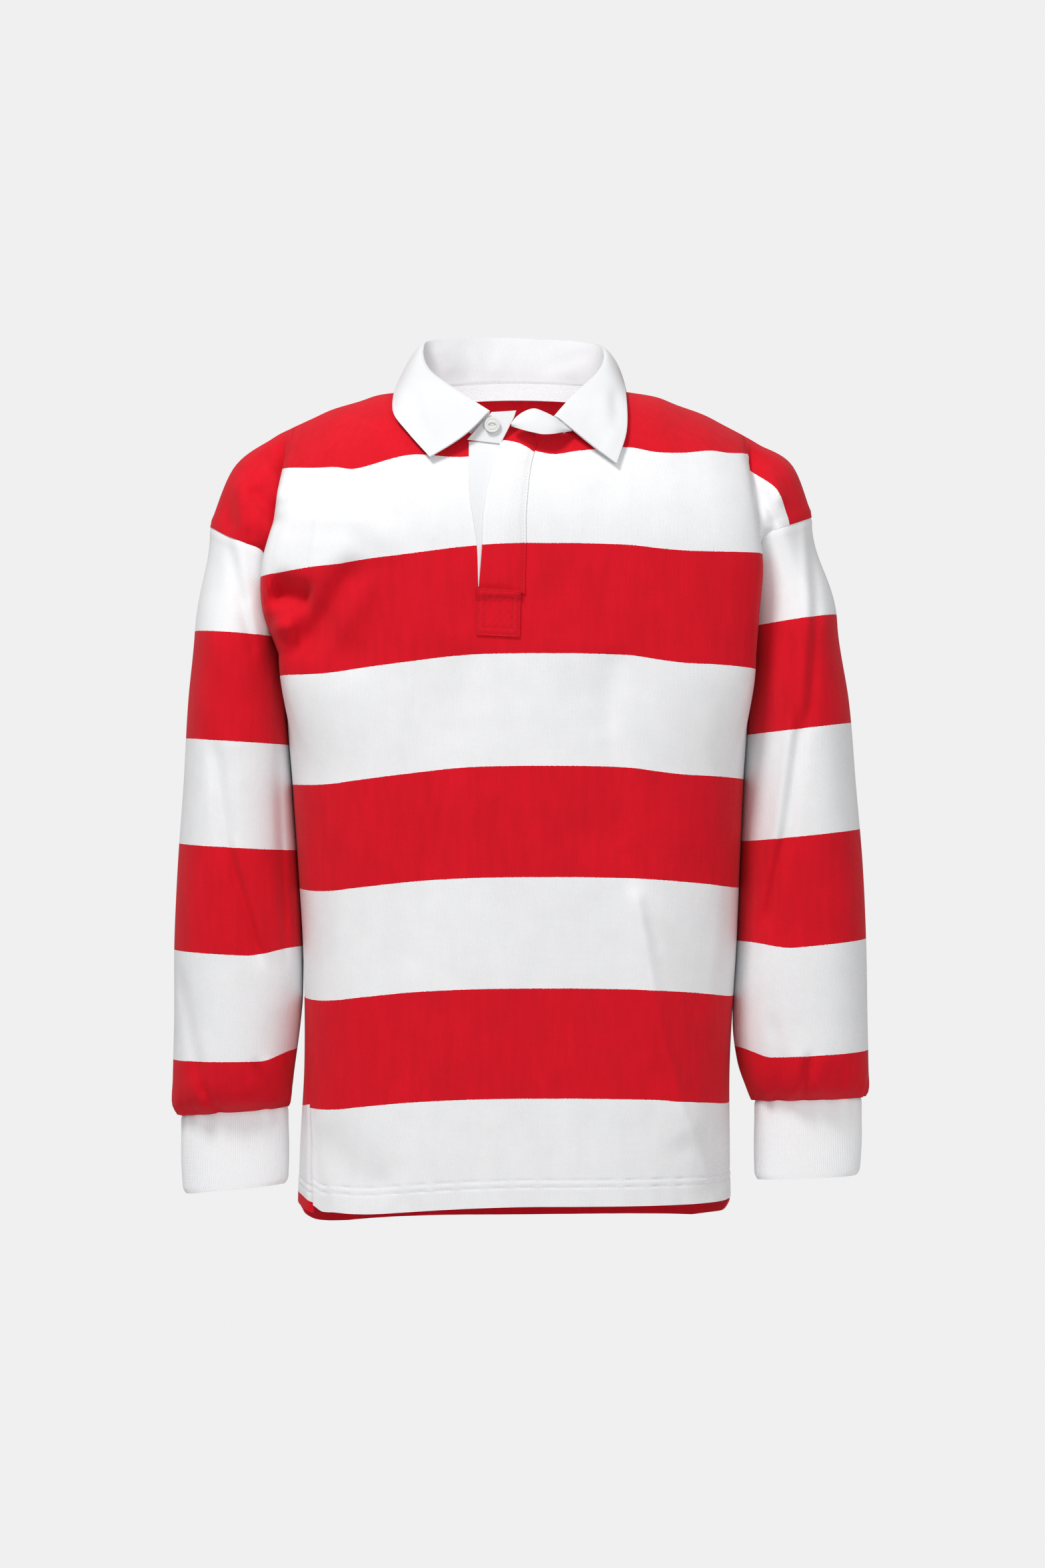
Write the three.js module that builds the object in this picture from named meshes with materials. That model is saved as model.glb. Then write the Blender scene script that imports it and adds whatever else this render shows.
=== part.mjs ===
// A long-sleeved hooped rugby shirt, filled out as if worn, with its collar button undone.
// Millimetres, +Z up, the front faces -Y. The origin is where the shoulder seams meet the neck,
// on the centre line, so the shirt hangs below it as it hangs from a wearer's shoulders.
// Each cut piece is a thin wall built on a grid of points, and neighbours share their seam line.
import * as THREE from 'three';

// Wall thicknesses and clearances
const JERSEY = 1.5;
const TWILL = 2.0;
const RIB = 2.5;
const STRIP = 1.2;
const SEAM_GAP = 0.3;
const LAYER_GAP = 0.35;

// Neck and front opening
const NECK_HALF_WIDTH = 92;
const FRONT_NECK_DROP = 0.386;
const BACK_NECK_DROP = 0.25;
const BACK_NECK_RISE = 28;
const SLIT_LEFT_X = -40;
const SLIT_RIGHT_X = 6;
const SLIT_ROWS = 9;

// Shoulder and chest profile, from the shoulder seam down to the armpit
const SHOULDER_PART = 2 / 3;
const FRONT_PROFILE = { height: 140, depth: 115, armpitZ: -240 };
const BACK_PROFILE = { height: 120, depth: 112, armpitZ: -240 };
const CHEST_ROUND = 2.6;
const TORSO_ROUND = 2.8;
const FOLD_FADE = 110;
const ARMHOLE_LENGTH = 240;
const SECTION_STEPS = 160;
const SMOOTH_SEAM = 0.3;

// How finely the walls are cut
const ARMHOLE_ROWS = 12;
const SKIRT_ROWS = 20;
const SHOULDER_COLUMNS = 5;
const SIDE_COLUMNS = 6;
const SLEEVE_ROWS = 24;
const NECK_LEFT_STEPS = 4;
const NECK_RIGHT_STEPS = 5;
const NECK_BACK_STEPS = 12;
const STRIP_STEPS = 12;
const LAID_COLUMNS = 3;
const BAND_ROWS = 4;
const BAND_COLUMNS = 6;
const BUTTON_SIDES = 20;

// Turns rows of numbers under named columns into a list of records.
function table(columns, rows) {
  const names = columns.split(' ');
  return rows.map((row) => Object.fromEntries(names.map((name, i) => [name, row[i]])));
}

// Height of the shoulder seam against the distance from the centre line.
const SHOULDER_SEAM = table('out z', [
  [92, 0],
  [124, -3],
  [143, -9],
  [167, -16],
  [185, -24],
  [203, -32],
]);
const SHOULDER_TILT = { left: 0, right: 0.065 };

// The front panel's drape fold beside each arm: its outer edge, and the tuck behind it.
const FRONT_FOLD = {
  left: table('v out y z tuckOut tuckY tuckZ', [
    [0, 203, 2, -32, 222, 3, -42],
    [30, 203, -24, -44, 216, -19, -50],
    [60, 206, -45, -68, 207, -34, -74],
    [90, 210, -57, -92, 202, -42, -98],
    [120, 215, -63, -120, 200, -44, -125],
    [160, 224, -64, -160, 203, -42, -163],
    [200, 214, -61, -200, 204, -38, -202],
    [240, 209, -60, -238, 204, -36, -239],
  ]),
  right: table('v out y z tuckOut tuckY tuckZ', [
    [0, 203, 2, -39, 217, 3, -47],
    [30, 204, -24, -52, 212, -19, -56],
    [60, 205, -45, -72, 203, -34, -78],
    [90, 208, -57, -95, 200, -42, -101],
    [120, 212, -63, -122, 199, -44, -127],
    [160, 216, -64, -161, 201, -42, -164],
    [200, 213, -61, -201, 203, -38, -203],
    [240, 210, -60, -239, 204, -36, -240],
  ]),
};

// The back panel passes from the shoulder blade to the arm in a soft hollow.
const BACK_FOLD = {
  left: table('v out y z tuckOut tuckY tuckZ', [
    [0, 203, 2, -32, 222, 3, -42],
    [30, 204, 28, -42, 220, 26, -50],
    [60, 206, 50, -62, 216, 44, -70],
    [90, 207, 62, -90, 213, 54, -97],
    [120, 206, 68, -120, 210, 57, -126],
    [160, 205, 70, -160, 207, 55, -164],
    [200, 205, 69, -200, 206, 50, -203],
    [240, 206, 66, -239, 206, 44, -240],
  ]),
  right: table('v out y z tuckOut tuckY tuckZ', [
    [0, 203, 2, -39, 217, 3, -47],
    [30, 204, 28, -50, 216, 26, -56],
    [60, 205, 50, -68, 212, 44, -75],
    [90, 206, 62, -93, 210, 54, -100],
    [120, 205, 68, -122, 208, 57, -128],
    [160, 205, 70, -161, 206, 55, -165],
    [200, 205, 69, -201, 205, 50, -204],
    [240, 206, 66, -239, 206, 44, -240],
  ]),
};

// Armhole seam round each upper arm, from its top outer point down to the armpit.
const ARMHOLE = {
  left: table('v out frontY backY frontZ backZ', [
    [0, 278, 5, 5, -121, -121],
    [30, 273, -24, 34, -124, -126],
    [60, 261, -46, 56, -131, -135],
    [90, 247, -57, 66, -139, -147],
    [120, 233, -57, 64, -150, -162],
    [160, 223, -43, 49, -180, -190],
    [200, 214, -21, 26, -213, -219],
    [240, 208, 1, 1, -241, -241],
  ]),
  right: table('v out frontY backY frontZ backZ', [
    [0, 265, 5, 5, -112, -112],
    [30, 261, -24, 34, -115, -117],
    [60, 250, -46, 56, -122, -126],
    [90, 238, -57, 66, -130, -139],
    [120, 228, -57, 64, -143, -156],
    [160, 221, -43, 49, -175, -187],
    [200, 214, -21, 26, -211, -218],
    [240, 208, 1, 1, -241, -241],
  ]),
};
const CAP_BULGE = table('v bulge', [
  [0, 15],
  [60, 13],
  [120, 8],
  [160, 3],
  [200, 0],
  [240, 0],
]);

// The body below the armpits: half widths, depths and the side seams' place.
const TORSO = table('z left right front back leftSeamY rightSeamY', [
  [-240, 207, 207, 115, 112, 1, 1],
  [-300, 205, 204, 116, 108, -2, 0],
  [-360, 201, 201, 115, 104, -7, -1],
  [-430, 196, 198, 113, 104, -14, -3],
  [-500, 192, 195, 112, 106, -24, -6],
  [-600, 191, 189, 112, 110, -42, -9],
  [-680, 195, 189, 113, 113, -60, -11],
  [-760, 197, 190, 115, 116, -68, -12],
]);
const FRONT_HEM = { centre: -722, left: -735, right: -728 };
const BACK_HEM = { centre: -754, left: -754, right: -754 };
// How far each hem rises towards a side seam, by the distance from that seam.
const HEM_CORNER = table('from rise', [
  [0, 6],
  [6, 2],
  [14, 0],
  [30, 0],
]);
const TAIL_LEFT = table('from rise', [
  [0, 25],
  [30, 30],
  [60, 32],
  [90, 22],
  [115, 11],
  [150, 1],
  [175, 0],
]);
const TAIL_RIGHT = table('from rise', [
  [0, 27],
  [25, 25],
  [50, 16],
  [80, 6],
  [110, 0],
]);
const HEM_RISE = {
  front: { left: HEM_CORNER, right: HEM_CORNER },
  back: { left: TAIL_LEFT, right: TAIL_RIGHT },
};
const PANEL_WIDTH = 460;
const PANEL_HALF_WIDTH = 190;
const VENT = { topZ: -640, spread: 4 };

// Broad folds of the body cloth: a soft ridge, or a trough where the height is below zero.
const FRONT_DRAPES = table('x1 z1 x2 z2 width height', [
  [104, -440, 168, -718, 20, 5],
  [66, -250, 78, -420, 30, -4],
  [-70, -240, -112, -640, 34, -4],
  [-190, -190, -120, -120, 26, 5],
  [-196, -215, -130, -245, 22, -4],
  [-176, -660, -120, -715, 24, -5],
  [150, -660, 180, -712, 18, -5],
]);
const BACK_DRAPES = table('x1 z1 x2 z2 width height', [
  [-120, -150, -60, -420, 34, -5],
  [118, -160, 84, -450, 34, -5],
  [20, -300, -20, -640, 40, 4],
  [150, -420, 120, -700, 30, 5],
  [-150, -400, -128, -690, 30, 5],
]);

// Sleeves: where the outer and inner sides stand, and how deep the tube is.
const SLEEVE = {
  left: table('z outer inner halfDepth middleY', [
    [-121, 283, 214, 70, 6],
    [-163, 289, 212, 73, 6],
    [-217, 290, 211, 75, 5],
    [-280, 296, 210, 73, 4],
    [-353, 300, 206, 70, 2],
    [-424, 305, 201.5, 66, 0],
    [-494, 308, 197, 62, -3],
    [-565, 308, 198.5, 57, -6],
    [-614, 309, 202, 52, -9],
    [-635, 309, 206, 42, -10],
    [-645, 301, 208, 25, -10],
  ]),
  right: table('z outer inner halfDepth middleY', [
    [-112, 274, 214, 70, 6],
    [-163, 285, 212, 73, 6],
    [-217, 287, 211, 75, 5],
    [-280, 297, 210, 73, 4],
    [-353, 303, 206, 70, 2],
    [-424, 309, 203, 66, 0],
    [-494, 313, 200, 62, -3],
    [-565, 314, 196, 57, -6],
    [-600, 315, 200, 52, -9],
    [-623, 314, 209, 42, -10],
    [-634, 308, 214, 25, -10],
  ]),
};
const SLEEVE_ROUND = 2.2;
const HEAD_BLEND = 95;
const UNDERARM_CLEARANCE = 2.9;
const DOUBLED_SHARE = 0.85;

// Ribbed cuffs
const CUFF = {
  left: { length: 69.5, slant: 4.5 },
  right: { length: 70.5, slant: -2 },
};
const CUFF_MIDDLE = 255;
const CUFF_HALF_WIDTH = 45;
const CUFF_SWELL = 0.03;
const CUFF_ROWS = 4;

// Collar: the roll line where it turns over, and the free edge of the leaf.
const ROLL_LINE = table('s x y z', [
  [-1, -25, -97, -27],
  [-0.8, -56, -74, -5],
  [-0.64, -80, -34, 17],
  [-0.5, -86, 2, 38],
  [-0.3, -76, 42, 51],
  [0, 0, 64, 55],
  [0.3, 68, 42, 51],
  [0.5, 77, 2, 38],
  [0.66, 72, -32, 17],
  [0.84, 50, -68, -9],
  [1, 32, -92, -31],
]);
const LEAF_EDGE = table('s x y z', [
  [-1, -77, -104, -67],
  [-0.86, -96, -88, -45],
  [-0.68, -110, -66, -24],
  [-0.5, -109, -8, 4],
  [-0.34, -104, 48, 0],
  [0, 0, 94, -4],
  [0.34, 93, 52, -1.5],
  [0.5, 95, -6, 4.6],
  [0.66, 96, -55, -12.5],
  [0.84, 95, -88, -44],
  [1, 91, -106, -73],
]);
const STAND_ROWS = 4;
const LEAF_ROWS = 8;
const ROLL_RADIUS = 3.2;
const STAND_HOLLOW = 3;

// Small pieces of the front opening
const PLACKET_OVER = table('z left right', [
  [-40, -7.5, 14],
  [-54, -14.5, 16],
  [-76, -22, 11],
  [-118, -30, 7],
  [-142, -31, 7],
  [-181, -34, 6],
]);
const PLACKET_UNDER = table('z left right', [
  [-54, -43, -6],
  [-100, -42, -14],
  [-142, -36, -18],
  [-181, -34.5, -20],
]);
const PATCH = { left: -35.5, right: 2.5, top: -182, bottom: -223, tilt: -2 };
const BAND_LEFT = { from: -44, fromTop: -22.5, to: -2, bottomZ: -53.5, drop: 2, rise: 25, slant: 14 };
const BAND_LEAN = 1.5;
const COLLAR_SEAT = 0.8;
const BAND_RIGHT = table('x ridgeY ridgeZ lipY lipZ', [
  [-6.5, -98, -38, -99, -39.5],
  [-1, -97, -30, -102, -41.5],
  [14, -95, -24, -106, -46],
  [22, -95, -27, -107, -47.5],
  [32, -95, -32, -105, -46.5],
  [44, -95, -37, -101, -43],
]);
const BAND_RIGHT_STEPS = [-6.5, -1, 6, 14, 22, 32, 38, 44];
const BAND_CURL = 3;
const TAPE = { height: 15, inset: JERSEY / 2 + LAYER_GAP + STRIP / 2, steps: [-0.15, 0.4, 1], ends: 2 };
const BUTTON = { x: -22.5, y: -95.7, z: -39.5, tilt: 0.06 };
const BUTTON_PROFILE = table('out up', [
  [0, 0],
  [6.4, 0],
  [7, 0.7],
  [7, 2.1],
  [6.2, 2.8],
  [5, 2.8],
  [4.4, 1.7],
  [0, 1.7],
]);

// Interpolates one named column of a table, smoothly through its rows.
function sample(rows, key, at, column) {
  const rising = rows[rows.length - 1][key] > rows[0][key];
  const list = rising ? rows : [...rows].reverse();
  const clamped = Math.min(Math.max(at, list[0][key]), list[list.length - 1][key]);
  let i = 0;
  while (i < list.length - 2 && clamped > list[i + 1][key]) {
    i += 1;
  }
  const slope = (k) => {
    const low = Math.max(k - 1, 0);
    const high = Math.min(k + 1, list.length - 1);
    return (list[high][column] - list[low][column]) / (list[high][key] - list[low][key]);
  };
  const span = list[i + 1][key] - list[i][key];
  const t = (clamped - list[i][key]) / span;
  const a = list[i][column];
  const b = list[i + 1][column];
  const rise = slope(i) * span;
  const fall = slope(i + 1) * span;
  const cubic = t * t * (3 - 2 * t);
  return a + (b - a) * cubic + rise * t * (1 - t) ** 2 - fall * t * t * (1 - t);
}

function smooth(t) {
  const c = Math.min(Math.max(t, 0), 1);
  return c * c * (3 - 2 * c);
}

function mix(a, b, t) {
  return a + (b - a) * t;
}

// A quarter of a rounded curve: 1 in the middle, 0 at the ends, with upright ends.
function crown(a, power) {
  return (1 - Math.min(Math.abs(a), 1) ** power) ** (1 / power);
}

// Adds up the ridges and troughs that pass near a place on a panel.
function drape(folds, x, z) {
  let height = 0;
  for (const fold of folds) {
    const dx = fold.x2 - fold.x1;
    const dz = fold.z2 - fold.z1;
    const along = ((x - fold.x1) * dx + (z - fold.z1) * dz) / (dx * dx + dz * dz);
    const across = ((x - fold.x1) * dz - (z - fold.z1) * dx) / Math.hypot(dx, dz);
    const ends = smooth((along + 0.12) / 0.3) * smooth((1.12 - along) / 0.3);
    height += fold.height * ends * Math.exp(-((across / fold.width) ** 2));
  }
  return height;
}

// Smooth path through four points, from the second to the third.
function hermite(p0, p1, p2, p3, t) {
  const before = p2.clone().sub(p0).multiplyScalar(0.5);
  const after = p3.clone().sub(p1).multiplyScalar(0.5);
  const c = t * t * (3 - 2 * t);
  return p1.clone().lerp(p2, c)
    .addScaledVector(before, t * (1 - t) ** 2)
    .addScaledVector(after, -t * t * (1 - t));
}

const SIDES = { left: -1, right: 1 };

function seamHeight(side, out, rise) {
  if (out >= NECK_HALF_WIDTH) {
    return sample(SHOULDER_SEAM, 'out', out, 'z') - SHOULDER_TILT[side] * (out - NECK_HALF_WIDTH);
  }
  return rise * (1 - (out / NECK_HALF_WIDTH) ** 2);
}

function armholePoint(side, face, v) {
  const rows = ARMHOLE[side];
  return new THREE.Vector3(
    SIDES[side] * sample(rows, 'v', v, 'out'),
    sample(rows, 'v', v, `${face}Y`),
    sample(rows, 'v', v, `${face}Z`),
  );
}

// One body panel, front or back. A place on it above the armpits is given by a column and by
// f, from 0 on the shoulder seam to 1 at the armpit. Below them the columns follow the torso.
class BodyPanel {
  constructor(face) {
    this.face = face;
    this.forward = face === 'front' ? -1 : 1;
    this.folds = face === 'front' ? FRONT_FOLD : BACK_FOLD;
    this.profile = face === 'front' ? FRONT_PROFILE : BACK_PROFILE;
    this.drapes = face === 'front' ? FRONT_DRAPES : BACK_DRAPES;
    this.neckRise = face === 'front' ? 0 : BACK_NECK_RISE;
    this.neckDrop = face === 'front' ? FRONT_NECK_DROP : BACK_NECK_DROP;
  }

  foldPoint(side, f) {
    const rows = this.folds[side];
    const v = f * ARMHOLE_LENGTH;
    return new THREE.Vector3(
      SIDES[side] * sample(rows, 'v', v, 'out'),
      sample(rows, 'v', v, 'y'),
      sample(rows, 'v', v, 'z'),
    );
  }

  tuckPoint(side, f) {
    const rows = this.folds[side];
    const v = f * ARMHOLE_LENGTH;
    return new THREE.Vector3(
      SIDES[side] * sample(rows, 'v', v, 'tuckOut'),
      sample(rows, 'v', v, 'tuckY'),
      sample(rows, 'v', v, 'tuckZ'),
    );
  }

  // Middle of the cap that lies on the upper arm, between the tuck and the armhole seam.
  capPoint(side, f) {
    const v = f * ARMHOLE_LENGTH;
    const tuck = this.tuckPoint(side, f);
    const edge = armholePoint(side, this.face, v);
    const turn = (Math.PI / 2) * Math.min(v / 120, 1);
    const bulge = sample(CAP_BULGE, 'v', v, 'bulge');
    const push = new THREE.Vector3(SIDES[side] * 0.4, this.forward * Math.sin(turn), Math.cos(turn));
    return tuck.lerp(edge, 0.5).addScaledVector(push.normalize(), bulge);
  }

  // Centre line of the panel: how far it has dropped and how far it stands out.
  centreProfile(f) {
    const { height, depth, armpitZ } = this.profile;
    if (f < SHOULDER_PART) {
      const angle = (Math.PI / 2) * (f / SHOULDER_PART);
      return { drop: height * (1 - Math.cos(angle)), y: this.forward * depth * Math.sin(angle) };
    }
    const t = (f - SHOULDER_PART) / (1 - SHOULDER_PART);
    return { drop: mix(height, -armpitZ, t), y: this.forward * depth };
  }

  // A place between the two fold lines; a runs from -1 on the left fold to 1 on the right one.
  chestPoint(a, f) {
    const side = a < 0 ? 'left' : 'right';
    const fold = this.foldPoint(side, f);
    const startX = Math.abs(this.foldPoint(side, 0).x);
    const centre = this.centreProfile(f);
    const ridgeShare = 1 - smooth((f - 0.2) / 0.8);
    const ridge = seamHeight(side, Math.abs(a) * startX, this.neckRise) * ridgeShare;
    const foldRidge = seamHeight(side, startX, this.neckRise) * ridgeShare;
    const z = ridge + mix(-centre.drop, fold.z - foldRidge, a * a);
    const y = mix(fold.y, centre.y, crown(a, CHEST_ROUND));
    return new THREE.Vector3(Math.abs(fold.x) * a, y, z);
  }

  // A place beyond a fold line; q runs from 0 on the fold to 1 on the armhole seam.
  sidePoint(side, q, f) {
    const sign = SIDES[side];
    const before = this.chestPoint(sign * 0.93, f);
    const fold = this.foldPoint(side, f);
    const tuck = this.tuckPoint(side, f);
    const cap = this.capPoint(side, f);
    const edge = armholePoint(side, this.face, f * ARMHOLE_LENGTH);
    const beyond = edge.clone().multiplyScalar(2).sub(cap);
    const path = [before, fold, tuck, cap, edge, beyond];
    const span = Math.min(Math.floor(q * 3), 2);
    return hermite(path[span], path[span + 1], path[span + 2], path[span + 3], q * 3 - span);
  }

  yokePoint(column, f) {
    if (column.side) {
      return this.sidePoint(column.side, column.q, f);
    }
    return this.chestPoint(column.a, f);
  }

  // Where a column starts: on the shoulder seam, or lower on the neckline.
  topOf(column) {
    if (column.side) {
      return 0;
    }
    const startX = Math.abs(this.foldPoint(column.a < 0 ? 'left' : 'right', 0).x);
    const across = Math.min(Math.abs(column.a) * startX / NECK_HALF_WIDTH, 1);
    return this.neckDrop * Math.sqrt(1 - across * across);
  }

  // Half of the torso's rounded section at a height, from the left side seam to the right one.
  torsoSection(z) {
    const depth = sample(TORSO, 'z', z, this.face);
    const start = seamAngle('left', z, this.forward, depth);
    const end = Math.PI - seamAngle('right', z, this.forward, depth);
    const points = [];
    for (let i = 0; i <= SECTION_STEPS; i += 1) {
      const angle = mix(start, end, i / SECTION_STEPS);
      const side = Math.cos(angle) > 0 ? 'left' : 'right';
      const half = sample(TORSO, 'z', z, side);
      const x = -Math.sign(Math.cos(angle)) * half * Math.abs(Math.cos(angle)) ** (2 / TORSO_ROUND);
      const lift = Math.sign(Math.sin(angle)) * Math.abs(Math.sin(angle)) ** (2 / TORSO_ROUND);
      points.push(new THREE.Vector3(x, this.forward * depth * lift, z));
    }
    return points;
  }

  hemHeight(x, share) {
    const hem = this.face === 'front' ? FRONT_HEM : BACK_HEM;
    const side = share < 0.5 ? 'left' : 'right';
    const fromEnd = Math.min(share, 1 - share) * PANEL_WIDTH;
    const level = mix(hem.centre, hem[side], (x / PANEL_HALF_WIDTH) ** 2);
    return level + sample(HEM_RISE[this.face][side], 'from', fromEnd, 'rise');
  }

  // The finished grid of the panel: rows from the top edge to the hem, columns left to right.
  grid(columns, yokeRows, skirtRows) {
    const rows = [];
    for (let r = 0; r <= yokeRows; r += 1) {
      rows.push(columns.map((column) => {
        const top = this.topOf(column);
        return this.yokePoint(column, mix(top, 1, r / yokeRows));
      }));
    }
    const armpit = rows[yokeRows];
    const shares = arcShares(armpit);
    for (let r = 1; r <= skirtRows; r += 1) {
      rows.push(columns.map((column, c) => {
        const hem = this.hemHeight(armpit[c].x, shares[c]);
        const z = mix(armpit[c].z, hem, r / skirtRows);
        const torso = alongPath(this.torsoSection(z), shares[c]);
        const fade = smooth((armpit[c].z - z) / FOLD_FADE);
        const point = new THREE.Vector3(armpit[c].x, armpit[c].y, z).lerp(torso, fade);
        const open = smooth((VENT.topZ - z) / 60) * (c === 0 || c === columns.length - 1 ? 1 : 0);
        point.y += this.forward * VENT.spread * open;
        return point;
      }));
    }
    return rows.map((row) => row.map((point) => {
      const shaped = point.clone();
      const edge = smooth((Math.abs(point.y) - 20) / 40);
      shaped.y += this.forward * drape(this.drapes, point.x, point.z) * edge;
      return shaped;
    }));
  }

  // Depth of the panel at a place on the chest given by x and z.
  chestAt(x, z) {
    let low = 0;
    let high = 1;
    const reach = (f) => this.chestPoint(x / Math.abs(this.foldPoint(x < 0 ? 'left' : 'right', f).x), f);
    for (let i = 0; i < 40; i += 1) {
      const middle = (low + high) / 2;
      if (reach(middle).z > z) {
        low = middle;
      } else {
        high = middle;
      }
    }
    const point = reach(low);
    point.y += this.forward * drape(this.drapes, point.x, point.z);
    return point;
  }
}

function seamAngle(side, z, forward, depth) {
  const y = sample(TORSO, 'z', z, `${side}SeamY`);
  const lift = (y * forward) / depth;
  return Math.sign(lift) * Math.asin(Math.min(Math.abs(lift), 1) ** (TORSO_ROUND / 2));
}

// Share of a path's length at each of its points.
function arcShares(points) {
  const lengths = [0];
  for (let i = 1; i < points.length; i += 1) {
    lengths.push(lengths[i - 1] + points[i].distanceTo(points[i - 1]));
  }
  return lengths.map((length) => length / lengths[points.length - 1]);
}

function alongPath(points, share) {
  const shares = arcShares(points);
  let i = 1;
  while (i < points.length - 1 && shares[i] < share) {
    i += 1;
  }
  const t = (share - shares[i - 1]) / (shares[i] - shares[i - 1]);
  return points[i - 1].clone().lerp(points[i], t);
}

// Columns from the left armhole to the right one. Those across the neck crowd towards its ends.
function panelColumns(neckXs) {
  const columns = [];
  const neckShare = NECK_HALF_WIDTH / SHOULDER_SEAM[SHOULDER_SEAM.length - 1].out;
  for (let i = SIDE_COLUMNS; i > 0; i -= 1) {
    columns.push({ side: 'left', q: i / SIDE_COLUMNS });
  }
  for (let i = 0; i < SHOULDER_COLUMNS; i += 1) {
    columns.push({ a: -mix(1, neckShare, i / SHOULDER_COLUMNS) });
  }
  for (const x of neckXs) {
    columns.push({ a: (x / NECK_HALF_WIDTH) * neckShare });
  }
  for (let i = SHOULDER_COLUMNS - 1; i >= 0; i -= 1) {
    columns.push({ a: mix(1, neckShare, i / SHOULDER_COLUMNS) });
  }
  for (let i = 1; i <= SIDE_COLUMNS; i += 1) {
    columns.push({ side: 'right', q: i / SIDE_COLUMNS });
  }
  return columns;
}

function neckSteps(fromX, toX, steps) {
  const start = Math.acos(fromX / NECK_HALF_WIDTH);
  const end = Math.acos(toX / NECK_HALF_WIDTH);
  const xs = [];
  for (let i = 0; i <= steps; i += 1) {
    xs.push(NECK_HALF_WIDTH * Math.cos(mix(start, end, i / steps)));
  }
  return xs;
}

// A sleeve: its first ring is the armhole seam, then it settles into a hanging tube.
function sleeveSection(side, z, angle) {
  const rows = SLEEVE[side];
  const outer = sample(rows, 'z', z, 'outer');
  const inner = sample(rows, 'z', z, 'inner');
  const depth = sample(rows, 'z', z, 'halfDepth');
  const c = Math.cos(angle);
  const s = Math.sin(angle);
  const x = (outer + inner) / 2 + ((outer - inner) / 2) * Math.sign(c) * Math.abs(c) ** (2 / SLEEVE_ROUND);
  const y = sample(rows, 'z', z, 'middleY') - depth * Math.sign(s) * Math.abs(s) ** (2 / SLEEVE_ROUND);
  return new THREE.Vector3(SIDES[side] * x, y, z);
}

function sleeveGrid(side, head, rows) {
  const count = head.length;
  const endZ = SLEEVE[side][SLEEVE[side].length - 1].z;
  const grid = [];
  for (let r = 0; r <= rows; r += 1) {
    grid.push(head.map(({ seam, outward }, j) => {
      const doubled = smooth((DOUBLED_SHARE - Math.abs(((2 * j) / count) - 1)) / DOUBLED_SHARE);
      const start = seam.clone().addScaledVector(outward, doubled * UNDERARM_CLEARANCE);
      const angle = (Math.PI * 2 * j) / count;
      const z = mix(start.z, endZ, r / rows);
      const blend = smooth((start.z - z) / HEAD_BLEND);
      const section = sleeveSection(side, z, angle);
      return new THREE.Vector3(start.x, start.y, z).lerp(section, blend);
    }));
  }
  return grid;
}

function cuffGrid(side, ring) {
  const { length, slant } = CUFF[side];
  const grid = [];
  for (let r = 0; r <= CUFF_ROWS; r += 1) {
    grid.push(ring.map((point) => {
      const t = r / CUFF_ROWS;
      const out = Math.abs(point.x) - CUFF_MIDDLE;
      const swell = 1 + CUFF_SWELL * Math.sin(Math.PI * t);
      const x = SIDES[side] * (CUFF_MIDDLE + out * swell);
      return new THREE.Vector3(x, point.y, point.z - t * (length + (slant * out) / CUFF_HALF_WIDTH));
    }));
  }
  return grid;
}

// The collar rises from the neckline to the roll line, turns over and falls outside it.
function collarGrid(neckline) {
  const shares = arcShares(neckline);
  const rows = [];
  const roll = neckline.map((_, i) => tablePoint(ROLL_LINE, 2 * shares[i] - 1));
  const edge = neckline.map((_, i) => tablePoint(LEAF_EDGE, 2 * shares[i] - 1));
  for (let r = 0; r <= STAND_ROWS; r += 1) {
    const t = r / STAND_ROWS;
    rows.push(neckline.map((start, i) => {
      const away = edge[i].clone().sub(roll[i]).setZ(0).normalize();
      const point = start.clone().lerp(roll[i], t).addScaledVector(away, -STAND_HOLLOW * Math.sin(Math.PI * t));
      point.z += COLLAR_SEAT * (1 - t);
      return point;
    }));
  }
  for (let r = 1; r <= LEAF_ROWS; r += 1) {
    const t = r / LEAF_ROWS;
    rows.push(neckline.map((_, i) => {
      const away = edge[i].clone().sub(roll[i]).setZ(0).normalize();
      const bulge = ROLL_RADIUS * 2 * Math.sqrt(t) * (1 - t);
      const point = roll[i].clone().lerp(edge[i], t);
      point.addScaledVector(away, bulge);
      point.z += bulge * 0.8;
      return point;
    }));
  }
  return rows;
}

function tablePoint(rows, s) {
  return new THREE.Vector3(sample(rows, 's', s, 'x'), sample(rows, 's', s, 'y'), sample(rows, 's', s, 'z'));
}

// Normals of a grid, from its neighbours; a wrapped grid closes on itself across its columns.
function gridNormals(grid, wrap) {
  const rows = grid.length;
  const cols = grid[0].length;
  return grid.map((row, r) => row.map((_, c) => {
    const up = grid[Math.max(r - 1, 0)][c];
    const down = grid[Math.min(r + 1, rows - 1)][c];
    const left = wrap ? row[(c + cols - 1) % cols] : row[Math.max(c - 1, 0)];
    const right = wrap ? row[(c + 1) % cols] : row[Math.min(c + 1, cols - 1)];
    const across = right.clone().sub(left);
    const along = down.clone().sub(up);
    return along.cross(across).normalize();
  }));
}

function placeKey(point) {
  return [point.x, point.y, point.z].map((value) => Math.round(value * 1000)).join(' ');
}

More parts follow.
